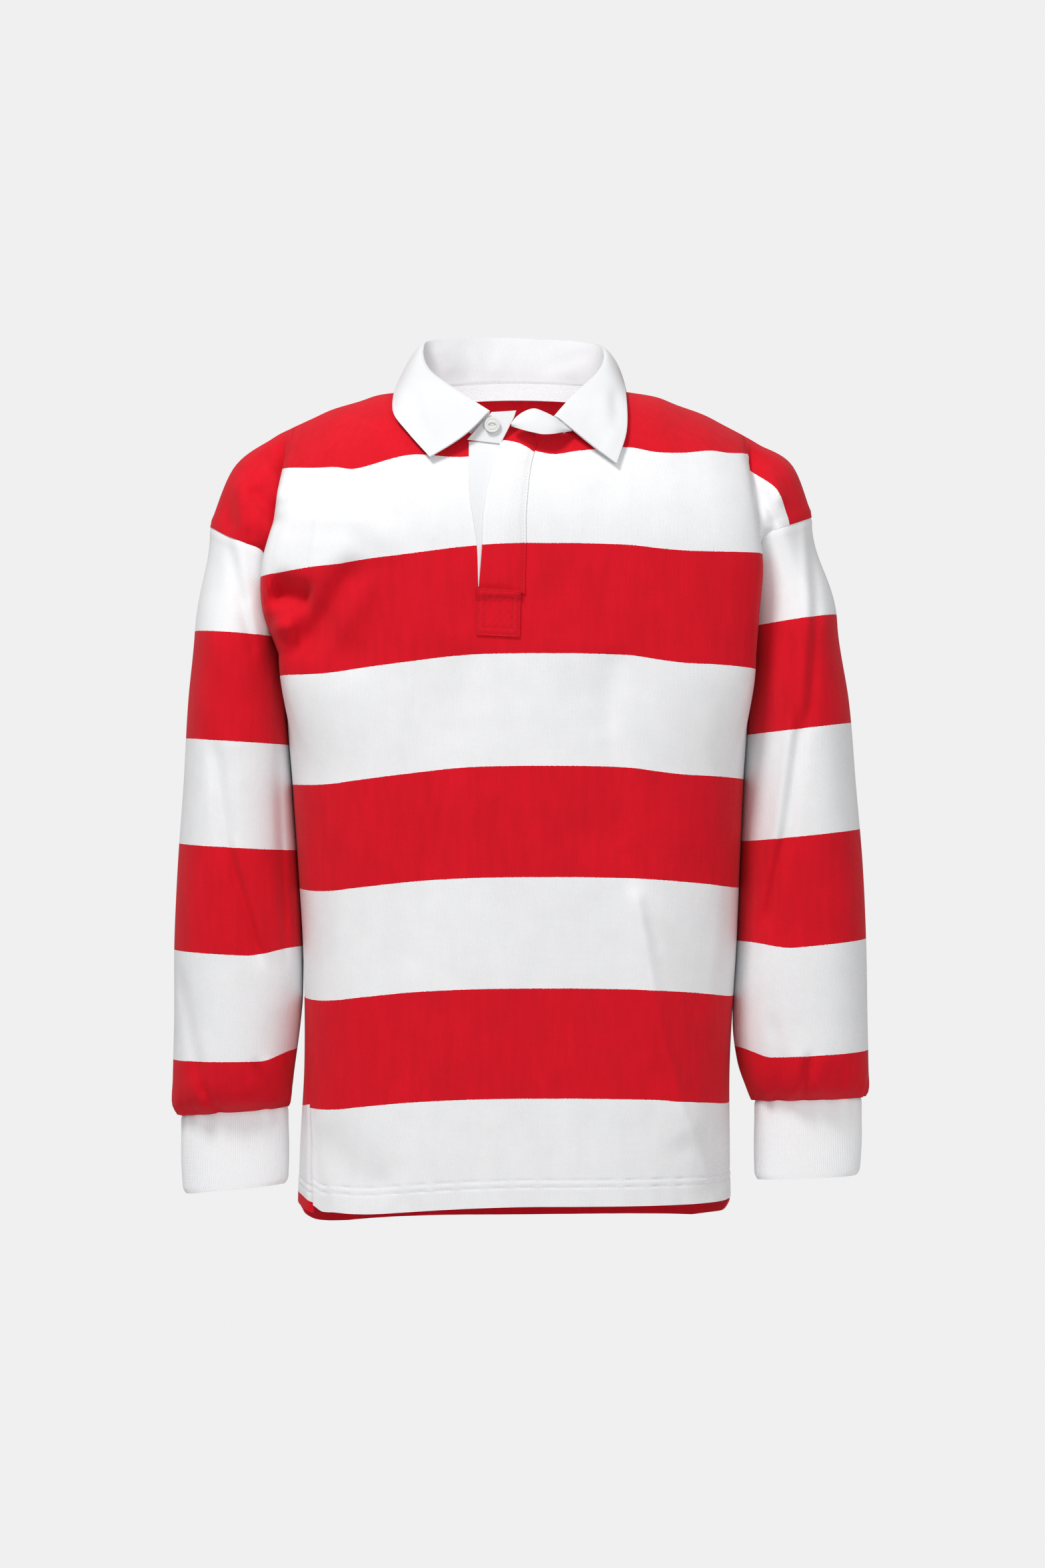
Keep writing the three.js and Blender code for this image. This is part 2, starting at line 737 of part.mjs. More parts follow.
// Where two cloths meet, both take the same normal, so that their cut edges stay parallel.
function shareSeamNormals(cloths) {
  const meetings = new Map();
  for (const cloth of cloths) {
    cloth.normals = gridNormals(cloth.grid, cloth.wrap);
    cloth.grid.forEach((row, r) => row.forEach((point, c) => {
      const key = placeKey(point);
      meetings.set(key, [...(meetings.get(key) ?? []), cloth.normals[r][c]]);
    }));
  }
  for (const cloth of cloths) {
    cloth.normals = cloth.grid.map((row, r) => row.map((point, c) => {
      const own = cloth.normals[r][c];
      const alike = meetings.get(placeKey(point)).filter((other) => other.dot(own) > SMOOTH_SEAM);
      return alike.reduce((sum, other) => sum.add(other), new THREE.Vector3()).normalize();
    }));
  }
}

// Pulls the border of a cloth back from its seams by half the seam gap.
function pullBack(cloth) {
  const { grid, wrap } = cloth;
  const rows = grid.length;
  const cols = grid[0].length;
  const step = (from, to) => to.clone().sub(from).setLength(SEAM_GAP / 2);
  return grid.map((row, r) => row.map((point, c) => {
    const moved = point.clone();
    if (r === 0) {
      moved.add(step(point, grid[1][c]));
    }
    if (r === rows - 1) {
      moved.add(step(point, grid[r - 1][c]));
    }
    if (!wrap && c === 0) {
      moved.add(step(point, row[1]));
    }
    if (!wrap && c === cols - 1) {
      moved.add(step(point, row[c - 1]));
    }
    return moved;
  }));
}

// Turns a cloth into a closed wall: an outer and an inner face, and an edge all round.
function wallGeometry(cloth) {
  const { wrap, thickness, hole } = cloth;
  const offset = cloth.offset ?? 0;
  const grid = pullBack(cloth);
  const rows = grid.length;
  const cols = grid[0].length;
  const positions = [];
  for (const depth of [offset + thickness / 2, offset - thickness / 2]) {
    grid.forEach((row, r) => row.forEach((point, c) => {
      const placed = point.clone().addScaledVector(cloth.normals[r][c], depth);
      positions.push(placed.x, placed.y, placed.z);
    }));
  }
  const inside = rows * cols;
  const spans = wrap ? cols : cols - 1;
  const kept = (r, c) => {
    const inGrid = r >= 0 && r < rows - 1 && (wrap || (c >= 0 && c < spans));
    return inGrid && !(hole && hole(r, c));
  };
  const at = (r, c) => r * cols + ((c + cols) % cols);
  const faces = [];
  const quad = (a, b, c, d, other) => {
    faces.push(...(other ? [a, b, d, b, c, d] : [a, b, c, a, c, d]));
  };
  for (let r = 0; r < rows - 1; r += 1) {
    for (let c = 0; c < spans; c += 1) {
      if (!kept(r, c)) {
        continue;
      }
      const [a, b, d, e] = [at(r, c), at(r + 1, c), at(r + 1, c + 1), at(r, c + 1)];
      const right = grid[r][(c + 1) % cols];
      const other = grid[r][c].distanceTo(grid[r + 1][(c + 1) % cols]) > grid[r + 1][c].distanceTo(right);
      quad(a, b, d, e, other);
      quad(a + inside, e + inside, d + inside, b + inside, other);
      if (!kept(r - 1, c)) {
        quad(e, e + inside, a + inside, a);
      }
      if (!kept(r + 1, c)) {
        quad(b, b + inside, d + inside, d);
      }
      if (!kept(r, wrap ? (c + cols - 1) % cols : c - 1)) {
        quad(a, a + inside, b + inside, b);
      }
      if (!kept(r, wrap ? (c + 1) % cols : c + 1)) {
        quad(d, d + inside, e + inside, e);
      }
    }
  }
  const geometry = new THREE.BufferGeometry();
  geometry.setAttribute('position', new THREE.Float32BufferAttribute(positions, 3));
  geometry.setIndex(faces);
  return usedOnly(geometry);
}

// Drops the points that no face uses.
function usedOnly(geometry) {
  const places = geometry.getAttribute('position');
  const renumber = new Map();
  const positions = [];
  const faces = Array.from(geometry.getIndex().array, (old) => {
    if (!renumber.has(old)) {
      renumber.set(old, renumber.size);
      positions.push(places.getX(old), places.getY(old), places.getZ(old));
    }
    return renumber.get(old);
  });
  const tidy = new THREE.BufferGeometry();
  tidy.setAttribute('position', new THREE.Float32BufferAttribute(positions, 3));
  tidy.setIndex(faces);
  tidy.computeVertexNormals();
  return tidy;
}

// A small piece laid on the front: rows down it, columns across it, all moved out.
function laidGrid(panel, rows, cols, place) {
  const grid = [];
  for (let r = 0; r <= rows; r += 1) {
    const row = [];
    for (let c = 0; c <= cols; c += 1) {
      const { x, z } = place(r / rows, c / cols);
      row.push(panel.chestAt(x, z));
    }
    grid.push(row);
  }
  return grid;
}

function stripGrid(panel, rows, steps) {
  const top = rows[0].z;
  const bottom = rows[rows.length - 1].z;
  return laidGrid(panel, steps, LAID_COLUMNS, (t, across) => {
    const z = mix(top, bottom, t);
    return { x: mix(sample(rows, 'z', z, 'left'), sample(rows, 'z', z, 'right'), across), z };
  });
}

function patchGrid(panel) {
  const { left, right, top, bottom, tilt } = PATCH;
  return laidGrid(panel, LAID_COLUMNS, LAID_COLUMNS, (down, across) => ({
    x: mix(left, right, across) + (tilt * down) / 2,
    z: mix(top, bottom, down) + tilt * across,
  }));
}

// The button end of the collar band stands up from the top of the placket.
function bandLeftGrid(panel) {
  const { from, fromTop, to, bottomZ, rise, slant } = BAND_LEFT;
  const grid = [];
  for (let r = 0; r <= BAND_ROWS; r += 1) {
    const up = 1 - r / BAND_ROWS;
    const row = [];
    for (let c = 0; c <= BAND_COLUMNS; c += 1) {
      const across = c / BAND_COLUMNS;
      const x = mix(mix(from, fromTop, up), to - slant * (1 - up), across);
      const foot = panel.chestAt(x, bottomZ - BAND_LEFT.drop * across);
      row.push(new THREE.Vector3(x, foot.y + BAND_LEAN * up, foot.z + rise * up));
    }
    grid.push(row);
  }
  return grid;
}

// The buttonhole end flops over outwards, so that its inner side shows.
function bandRightGrid() {
  const grid = [];
  for (let r = 0; r <= BAND_ROWS; r += 1) {
    const t = r / BAND_ROWS;
    grid.push(BAND_RIGHT_STEPS.map((x) => {
      const ridge = new THREE.Vector3(
        x,
        sample(BAND_RIGHT, 'x', x, 'ridgeY'),
        sample(BAND_RIGHT, 'x', x, 'ridgeZ'),
      );
      const lip = new THREE.Vector3(x, sample(BAND_RIGHT, 'x', x, 'lipY'), sample(BAND_RIGHT, 'x', x, 'lipZ'));
      const point = ridge.lerp(lip, t);
      point.y -= BAND_CURL * Math.sin(Math.PI * t);
      return point;
    }));
  }
  return grid;
}

// Herringbone tape along the inside of the back neck, hanging from the collar seam.
function tapeGrid(columns) {
  return TAPE.steps.map((t) => columns.map(({ top, below, normal }) => {
    const down = below.clone().sub(top).normalize();
    return top.clone().addScaledVector(down, TAPE.height * t).addScaledVector(normal, -TAPE.inset);
  }));
}

const lastRing = (grid) => grid[grid.length - 1];

function buttonGeometry() {
  return new THREE.LatheGeometry(BUTTON_PROFILE.map(({ out, up }) => new THREE.Vector2(out, up)), BUTTON_SIDES);
}

const RED = 0xc8142c;
const WHITE = 0xf0f0f2;

function clothMesh(name, cloth) {
  const finish = new THREE.MeshStandardMaterial({ color: cloth.color, roughness: 0.9, metalness: 0 });
  const mesh = new THREE.Mesh(wallGeometry(cloth), finish);
  mesh.name = name;
  return mesh;
}

const shirt = new THREE.Group();
const front = new BodyPanel('front');
const back = new BodyPanel('back');

const leftNeck = neckSteps(-NECK_HALF_WIDTH, SLIT_LEFT_X, NECK_LEFT_STEPS);
const rightNeck = neckSteps(SLIT_RIGHT_X, NECK_HALF_WIDTH, NECK_RIGHT_STEPS);
const slitMiddle = (SLIT_LEFT_X + SLIT_RIGHT_X) / 2;
const frontColumns = panelColumns([...leftNeck, slitMiddle, ...rightNeck]);
const backNeck = neckSteps(-NECK_HALF_WIDTH, NECK_HALF_WIDTH, NECK_BACK_STEPS);
const backColumns = panelColumns(backNeck);
const frontGrid = front.grid(frontColumns, ARMHOLE_ROWS, SKIRT_ROWS);
const backGrid = back.grid(backColumns, ARMHOLE_ROWS, SKIRT_ROWS);

const neckStart = SIDE_COLUMNS + SHOULDER_COLUMNS;
const slitStart = neckStart + leftNeck.length - 1;
const slitEnd = slitStart + 2;
const inSlit = (r, c) => r < SLIT_ROWS && c >= slitStart && c < slitEnd;

// The armhole seam as one loop: down the front of the arm from its top, then up the back of it.
function headLoop(side) {
  const column = (grid, facing) => {
    const normals = gridNormals(grid, false);
    return grid.slice(0, ARMHOLE_ROWS + 1).map((row, r) => {
      const c = side === 'left' ? 0 : row.length - 1;
      return { seam: row[c], outward: normals[r][c].multiplyScalar(facing) };
    });
  };
  const forward = column(frontGrid, 1);
  const behind = column(backGrid, -1).reverse();
  return [...forward, ...behind.slice(1, -1)];
}

const leftSleeve = sleeveGrid('left', headLoop('left'), SLEEVE_ROWS);
const rightSleeve = sleeveGrid('right', headLoop('right'), SLEEVE_ROWS);
const neckline = [
  ...frontGrid[0].slice(neckStart, slitStart + 1).reverse(),
  ...backGrid[0].slice(neckStart + 1, neckStart + NECK_BACK_STEPS),
  ...frontGrid[0].slice(slitEnd + 1, neckStart + leftNeck.length + rightNeck.length + 1).reverse(),
];
const flip = (grid) => grid.map((row) => [...row].reverse());

const cloths = {
  front_panel: { grid: frontGrid, thickness: JERSEY, hole: inSlit, color: RED },
  back_panel: { grid: flip(backGrid), thickness: JERSEY, color: RED },
  sleeve_left: { grid: flip(leftSleeve), thickness: JERSEY, wrap: true, color: RED },
  sleeve_right: { grid: rightSleeve, thickness: JERSEY, wrap: true, color: RED },
  cuff_left: { grid: flip(cuffGrid('left', lastRing(leftSleeve))), thickness: RIB, wrap: true, color: WHITE },
  cuff_right: { grid: cuffGrid('right', lastRing(rightSleeve)), thickness: RIB, wrap: true, color: WHITE },
  collar: { grid: collarGrid(neckline), thickness: TWILL, color: WHITE },
};
shareSeamNormals(Object.values(cloths));

// Pieces laid over the front: each takes the front's own points, moved out by what lies below.
const backNormals = gridNormals(backGrid, false);
const tapeColumns = backNeck.slice(TAPE.ends, -TAPE.ends).map((_, i) => {
  const c = neckStart + TAPE.ends + i;
  return { top: backGrid[0][c], below: backGrid[1][c], normal: backNormals[0][c].clone().negate() };
});
const overFront = JERSEY / 2 + LAYER_GAP;
const overStrip = overFront + STRIP + LAYER_GAP;
const laid = {
  placket_under: {
    grid: stripGrid(front, PLACKET_UNDER, STRIP_STEPS),
    thickness: STRIP,
    offset: overFront + STRIP / 2,
    color: WHITE,
  },
  placket_over: {
    grid: stripGrid(front, PLACKET_OVER, STRIP_STEPS),
    thickness: JERSEY,
    offset: overStrip + JERSEY / 2,
    color: RED,
  },
  locker_patch: {
    grid: patchGrid(front),
    thickness: STRIP,
    offset: overFront + STRIP / 2,
    color: RED,
  },
  band_left: { grid: bandLeftGrid(front), thickness: TWILL, offset: overStrip + TWILL / 2, color: WHITE },
  band_right: { grid: bandRightGrid(), thickness: TWILL, color: WHITE },
  neck_tape: { grid: flip(tapeGrid(tapeColumns)), thickness: STRIP, color: WHITE },
};
for (const cloth of Object.values(laid)) {
  cloth.normals = gridNormals(cloth.grid, false);
}
Object.assign(cloths, laid);
for (const [name, cloth] of Object.entries(cloths)) {
  shirt.add(clothMesh(name, cloth));
}

const button = new THREE.Mesh(
  buttonGeometry(),
  new THREE.MeshStandardMaterial({ color: WHITE, roughness: 0.4, metalness: 0 }),
);
button.name = 'button';
button.rotation.x = Math.PI + BUTTON.tilt;
button.position.set(BUTTON.x, BUTTON.y, BUTTON.z);
shirt.add(button);

export default shirt;
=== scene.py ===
"""A long-sleeved hooped rugby shirt, filled out as if worn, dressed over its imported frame.

The cloth is shaped in millimetres and turned into metres when a mesh is made. The viewer's left
is -X, the front faces -Y, and the origin lies between the two shoulder seams at the neck.
"""

import logging
import math
from dataclasses import dataclass
from enum import Enum

import bpy
import numpy as np
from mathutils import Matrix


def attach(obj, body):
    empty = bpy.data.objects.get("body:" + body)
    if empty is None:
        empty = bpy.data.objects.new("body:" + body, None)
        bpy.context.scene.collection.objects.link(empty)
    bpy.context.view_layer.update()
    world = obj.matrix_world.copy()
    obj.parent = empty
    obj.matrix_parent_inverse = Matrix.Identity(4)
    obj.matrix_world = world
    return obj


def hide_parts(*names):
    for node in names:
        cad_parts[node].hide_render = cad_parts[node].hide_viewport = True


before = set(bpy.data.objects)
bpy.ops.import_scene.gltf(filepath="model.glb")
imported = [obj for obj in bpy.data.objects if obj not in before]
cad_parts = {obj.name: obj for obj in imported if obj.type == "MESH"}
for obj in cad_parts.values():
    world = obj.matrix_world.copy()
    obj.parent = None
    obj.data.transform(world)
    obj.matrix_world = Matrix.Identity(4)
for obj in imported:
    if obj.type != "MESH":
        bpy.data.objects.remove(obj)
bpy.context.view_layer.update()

LOG = logging.getLogger("rugby_shirt")
MM = 0.001
BODY = "root"
EDGE_ANGLE = math.radians(55)

Array = np.ndarray
Colour = tuple[float, float, float]


class Side(Enum):
    """The viewer's left or right, with the sign of its x."""

    LEFT = -1
    RIGHT = 1


class Face(Enum):
    """Which body panel, with the sign of the y it faces."""

    FRONT = -1
    BACK = 1


class Table:
    """Rows of numbers under named columns, read smoothly along the first column."""

    def __init__(self, columns: str, rows: list[list[float]]) -> None:
        """Keep the rows in rising order of the first column.

        Args:
            columns: Names of the columns, parted by spaces.
            rows: One list of numbers for each row.
        """
        ordered = sorted(rows, key=lambda row: row[0])
        self.names = columns.split()
        self.columns = {name: np.array([row[i] for row in ordered], float) for i, name in enumerate(self.names)}

    def at(self, place: Array | float, column: str) -> Array:
        """Read a column at places along the first one.

        Args:
            place: Where to read, in the first column's unit.
            column: Name of the column to read.

        Returns:
            The smooth value at each place.
        """
        key = self.columns[self.names[0]]
        value = self.columns[column]
        clamped = np.clip(place, key[0], key[-1])
        i = np.clip(np.searchsorted(key, clamped, side="left") - 1, 0, len(key) - 2)
        low = np.maximum(np.arange(len(key)) - 1, 0)
        high = np.minimum(np.arange(len(key)) + 1, len(key) - 1)
        slope = (value[high] - value[low]) / (key[high] - key[low])
        span = key[i + 1] - key[i]
        t = (clamped - key[i]) / span
        cubic = t * t * (3 - 2 * t)
        bend = slope[i] * span * t * (1 - t) ** 2 - slope[i + 1] * span * t * t * (1 - t)
        return value[i] + (value[i + 1] - value[i]) * cubic + bend

    def points(self, place: Array, names: str = "x y z") -> Array:
        """Read three columns as points."""
        return np.stack([self.at(place, name) for name in names.split()], axis=-1)


def smooth(t: Array) -> Array:
    """Ease from 0 to 1, flat beyond both ends."""
    c = np.clip(t, 0, 1)
    return c * c * (3 - 2 * c)


def mix(a: Array | float, b: Array | float, t: Array | float) -> Array:
    """Blend from a to b."""
    return a + (b - a) * t


def crown(a: Array, power: float) -> Array:
    """A rounded half curve: 1 in the middle and 0 at both ends, with upright ends."""
    return (1 - np.minimum(np.abs(a), 1) ** power) ** (1 / power)


def unit(vectors: Array) -> Array:
    """Vectors of length 1 in the same directions."""
    return vectors / np.maximum(np.linalg.norm(vectors, axis=-1, keepdims=True), 1e-9)


def arc_shares(points: Array) -> Array:
    """Share of a path's length at each of its points."""
    steps = np.linalg.norm(np.diff(points, axis=0), axis=1)
    lengths = np.concatenate([[0.0], np.cumsum(steps)])
    return lengths / lengths[-1]


def folds_height(folds: Table, x: Array, z: Array) -> Array:
    """Add up the ridges and troughs that pass near places on a cloth.

    Args:
        folds: One row for each fold: its ends, width and height, all in millimetres.
        x: Places across.
        z: Places up.

    Returns:
        How far the cloth stands out at each place.
    """
    rows = folds.columns
    height = np.zeros(np.broadcast(x, z).shape)
    for x1, z1, x2, z2, width, tall in zip(*(rows[name] for name in "x1 z1 x2 z2 width height".split())):
        dx = x2 - x1
        dz = z2 - z1
        along = ((x - x1) * dx + (z - z1) * dz) / (dx * dx + dz * dz)
        across = ((x - x1) * dz - (z - z1) * dx) / math.hypot(dx, dz)
        ends = smooth((along + 0.12) / 0.3) * smooth((1.12 - along) / 0.3)
        height = height + tall * ends * np.exp(-((across / width) ** 2))
    return height


def ripple(x: Array, z: Array, phase: float) -> Array:
    """Slow uneven waves that keep a hanging cloth from looking pressed."""
    broad = np.sin(x / 31 + phase) * np.sin(z / 67 + 2 * phase)
    fine = np.sin(x / 13 + z / 41 + 3 * phase) * np.sin(z / 29 - x / 57 + phase)
    return 0.6 * broad + 0.25 * fine


# Neck and front opening
NECK_HALF_WIDTH = 92.0
NECK_DROP = {Face.FRONT: 0.386, Face.BACK: 0.25}
NECK_RISE = {Face.FRONT: 0.0, Face.BACK: 28.0}
SLIT_LEFT_X = -40.0
SLIT_RIGHT_X = 6.0
SLIT_SHARE = 0.75
SLIT_LEAN = Table("t left right", [
    [0, 0, 0],
    [0.15, 3, -1],
    [0.35, 6, -2],
    [0.47, 10, -2.5],
    [0.6, 10.5, -3.5],
    [0.75, 11, -6],
    [0.9, 6, -3],
    [1, 0, 0],
])
COLLAR_START_STEPS = 4

# Shoulder and chest profile
SHOULDER_PART = 2 / 3
PROFILE = {Face.FRONT: (140.0, 115.0, -240.0), Face.BACK: (120.0, 112.0, -240.0)}
CHEST_ROUND = 2.6
TORSO_ROUND = 2.8
FOLD_FADE = 110.0
ARMHOLE_LENGTH = 240.0
FOLD_REACH = 0.93

SHOULDER_SEAM = Table(
    "out z",
    [[92, 0], [124, -3], [143, -9], [167, -16], [185, -24], [203, -32]],
)
SHOULDER_TILT = {Side.LEFT: 0.0, Side.RIGHT: 0.065}

FOLD_COLUMNS = "v out y z tuckOut tuckY tuckZ"
FOLD = {
    (Face.FRONT, Side.LEFT): Table(FOLD_COLUMNS, [
        [0, 203, 2, -32, 222, 3, -42],
        [30, 203, -24, -44, 216, -19, -50],
        [60, 208, -45, -68, 207, -34, -74],
        [90, 211.5, -57, -92, 202, -42, -98],
        [120, 216, -63, -120, 200, -44, -125],
        [160, 226, -64, -160, 203, -42, -163],
        [200, 225, -62, -200, 204, -38, -202],
        [240, 211, -60, -238, 204, -36, -239],
    ]),
    (Face.FRONT, Side.RIGHT): Table(FOLD_COLUMNS, [
        [0, 203, 2, -39, 217, 3, -47],
        [30, 204, -24, -52, 212, -19, -56],
        [60, 205, -45, -72, 203, -34, -78],
        [90, 208, -57, -95, 200, -42, -101],
        [120, 212, -63, -122, 199, -44, -127],
        [160, 216, -64, -161, 201, -42, -164],
        [200, 213, -61, -201, 203, -38, -203],
        [240, 210, -60, -239, 204, -36, -240],
    ]),
    (Face.BACK, Side.LEFT): Table(FOLD_COLUMNS, [
        [0, 203, 2, -32, 222, 3, -42],
        [30, 204, 28, -42, 220, 26, -50],
        [60, 206, 50, -62, 216, 44, -70],
        [90, 207, 62, -90, 213, 54, -97],
        [120, 206, 68, -120, 210, 57, -126],
        [160, 205, 70, -160, 207, 55, -164],
        [200, 205, 69, -200, 206, 50, -203],
        [240, 206, 66, -239, 206, 44, -240],
    ]),
    (Face.BACK, Side.RIGHT): Table(FOLD_COLUMNS, [
        [0, 203, 2, -39, 217, 3, -47],
        [30, 204, 28, -50, 216, 26, -56],
        [60, 205, 50, -68, 212, 44, -75],
        [90, 206, 62, -93, 210, 54, -100],
        [120, 205, 68, -122, 208, 57, -128],
        [160, 205, 70, -161, 206, 55, -165],
        [200, 205, 69, -201, 205, 50, -204],
        [240, 206, 66, -239, 206, 44, -240],
    ]),
}

ARMHOLE = {
    Side.LEFT: Table("v out frontY backY frontZ backZ", [
        [0, 278, 5, 5, -121, -121],
        [30, 273, -24, 34, -124, -126],
        [60, 259, -46, 56, -132, -135],
        [90, 242, -57, 66, -139, -147],
        [120, 226, -54, 64, -147, -162],
        [160, 216, -41, 49, -173, -190],
        [200, 211, -20, 26, -210, -219],
        [240, 208, 1, 1, -241, -241],
    ]),
    Side.RIGHT: Table("v out frontY backY frontZ backZ", [
        [0, 265, 5, 5, -112, -112],
        [30, 261, -24, 34, -115, -117],
        [60, 246, -46, 56, -121, -126],
        [90, 231, -56, 66, -126, -139],
        [120, 218, -52, 64, -134, -156],
        [160, 211, -40, 49, -168, -187],
        [200, 208, -20, 26, -208, -218],
        [240, 207, 1, 1, -241, -241],
    ]),
}
CAP_BULGE = Table("v bulge", [[0, 15], [60, 13], [120, 8], [160, 3], [200, 0], [240, 0]])

TORSO = Table("z left right front back leftSeamY rightSeamY", [
    [-240, 207, 207, 115, 112, 1, 1],
    [-300, 205, 204, 116, 108, -2, 0],
    [-360, 201, 201, 115, 104, -7, -1],
    [-430, 196, 198, 113, 104, -14, -3],
    [-500, 192, 195, 112, 106, -24, -6],
    [-600, 191, 189, 112, 110, -42, -9],
    [-680, 195, 189, 113, 113, -60, -11],
    [-760, 197, 190, 115, 116, -68, -12],
])
HEM = {Face.FRONT: (-721.0, -728.0, -721.5), Face.BACK: (-753.0, -758.0, -749.0)}
# How far each hem rises towards a side seam, by the distance from that seam.
HEM_CORNER_LEFT = Table("from rise", [[0, 5], [6, 3], [14, 0], [30, 0]])
HEM_CORNER_RIGHT = Table("from rise", [[0, 3], [6, 1], [14, 0], [30, 0]])
TAIL_LEFT = Table("from rise", [[0, 27], [30, 32], [60, 34], [80, 27], [101, 15], [122, 6], [140, 2], [160, 0]])
TAIL_RIGHT = Table("from rise", [[0, 27], [25, 18], [50, 8], [73, 3.5], [95, 0]])
HEM_RISE = {Face.FRONT: (HEM_CORNER_LEFT, HEM_CORNER_RIGHT), Face.BACK: (TAIL_LEFT, TAIL_RIGHT)}
PANEL_WIDTH = {Face.FRONT: 460.0, Face.BACK: 560.0}
PANEL_HALF_WIDTH = 190.0
VENT_TOP = -640.0
VENT_SPREAD = 4.0
VENT_COLUMNS = 4.5
HEM_SHARE = 0.066
HEM_TURN = 23.0
HEM_STITCHES = (23.0, 17.0)
HEM_RIDGE = 0.4
SEAM_DEPTH = 0.9
SEAM_RIDGE = 0.4

DRAPE_COLUMNS = "x1 z1 x2 z2 width height"
DRAPES = {
    Face.FRONT: Table(DRAPE_COLUMNS, [
        [104, -440, 168, -718, 20, 5],
        [66, -250, 78, -420, 30, -4],
        [-70, -240, -112, -640, 34, -4],
        [-190, -190, -120, -120, 26, 5],
        [-196, -215, -130, -245, 22, -4],
        [-176, -660, -120, -715, 24, -5],
        [150, -660, 180, -712, 18, -5],
    ]),
    Face.BACK: Table(DRAPE_COLUMNS, [
        [-120, -150, -60, -420, 34, -5],
        [118, -160, 84, -450, 34, -5],
        [20, -300, -20, -640, 40, 4],
        [150, -420, 120, -700, 30, 5],
        [-150, -400, -128, -690, 30, 5],
    ]),
}
CREASES = {
    Face.FRONT: Table(DRAPE_COLUMNS, [
        [-204, -118, -128, -122, 9, 1.6],
        [-41, -232, -58, -318, 13, -1.8],
        [-58, -312, -82, -456, 11, -1.6],
        [-80, -446, -92, -514, 9, -1.1],
        [84, -238, 78, -308, 12, -2.4],
        [79, -302, 92, -418, 10, -2.2],
        [92, -410, 104, -448, 8, -2.0],
        [101, -440, 119, -536, 7, 3.2],
        [117, -528, 143, -640, 7, 3.2],
        [142, -630, 171, -708, 8, 3.0],
        [103, -448, 119, -536, 2.2, 0.7],
        [117, -528, 143, -640, 2.2, 0.7],
        [142, -630, 171, -708, 2.6, 0.8],
        [180, -450, 152, -690, 6, 1.1],
        [-216, -182, -180, -190, 12, -19],
        [-214, -214, -196, -216, 7, 7.0],
        [-219, -204, -217, -256, 5, -7.0],
        [-208, -212, -207, -258, 4, 2.0],
        [-190, -236, -141, -160, 12, -8.0],
        [-174, -246, -122, -170, 12, 2.4],
        [-206, -44, -211, -80, 5, -6.0],
        [-226, -66, -208, -104, 6, 6.0],
        [-236, -90, -212, -126, 6, -7.0],
        [-250, -80, -240, -130, 6, 4.0],
        [-262, -90, -254, -130, 5, -3.6],
        [206, -38, 206, -70, 5, -6.0],
        [150, -14, 186, -40, 6, -2.4],
        [222, -70, 234, -104, 5, 4.2],
        [214, -90, 230, -126, 5, -4.6],
        [113, -472, 124, -498, 4, -1.2],
        [-95, -570, -89, -584, 3, -0.8],
        [-170, -300, -176, -520, 12, -1.3],
        [168, -290, 176, -470, 12, 1.2],
        [-20, -640, -24, -700, 7, 0.8],
        [62, -640, 58, -704, 8, -0.8],
        [-96, -640, -101, -698, 8, -0.9],
    ]),
    Face.BACK: Table(DRAPE_COLUMNS, [
        [-60, -150, -52, -330, 13, -1.7],
        [66, -170, 48, -360, 12, -1.6],
        [150, -180, 126, -330, 11, 1.6],
        [-146, -200, -120, -350, 11, 1.5],
        [-30, -420, -38, -600, 12, 1.4],
        [88, -500, 96, -700, 11, -1.5],
        [-92, -520, -84, -700, 10, -1.4],
        [10, -640, 12, -730, 8, 0.9],
    ]),
}
CREASE_PHASE = {Face.FRONT: 0.7, Face.BACK: 2.1}

# Hoops: heights of their edges at the middle of the body, and how the first edge and the rest
# rise and fall across it.
HOOP_EDGES = [-60.0, -143.0, -239.0, -337.0, -434.0, -531.0, -627.0, -729.0, -826.0]
HOOP_LINE = Table("x first second droop low behind", [
    [-226, -72, 27, 19, 10, 19],
    [-209, -73, 24, 18, 10, 19],
    [-179, -75, 20, 17.5, 13, 8],
    [-160, -75, 18, 16, 12, 4],
    [-143, -77, 15, 13.5, 9.5, 2],
    [-95, -65, 9, 7, 4, 0],
    [-47, -67, 3, 1.5, 1, 0],
    [0, -59, 0, 0, 0, 0],
    [31, -64.5, 0, 0, 0, 0],
    [52, -61.5, 0, 0, 0, 0],
    [97, -58, 1.5, 1.5, 1, 0],
    [121, -62, 4, 5, 2, 0],
    [145, -62, 6, 8, 4, 2],
    [170, -59, 6.5, 9, 7, 5],
    [187, -60, 6.5, 10, 10, 7],
    [209, -58, 6.5, 12, 13, 13],
])
BACK_LAST_EDGE = -724.0
BACK_EDGE_RISE = 8.0
TUCK_LAG = {Side.LEFT: (80.0, 0.0), Side.RIGHT: (1.0, 20.0)}

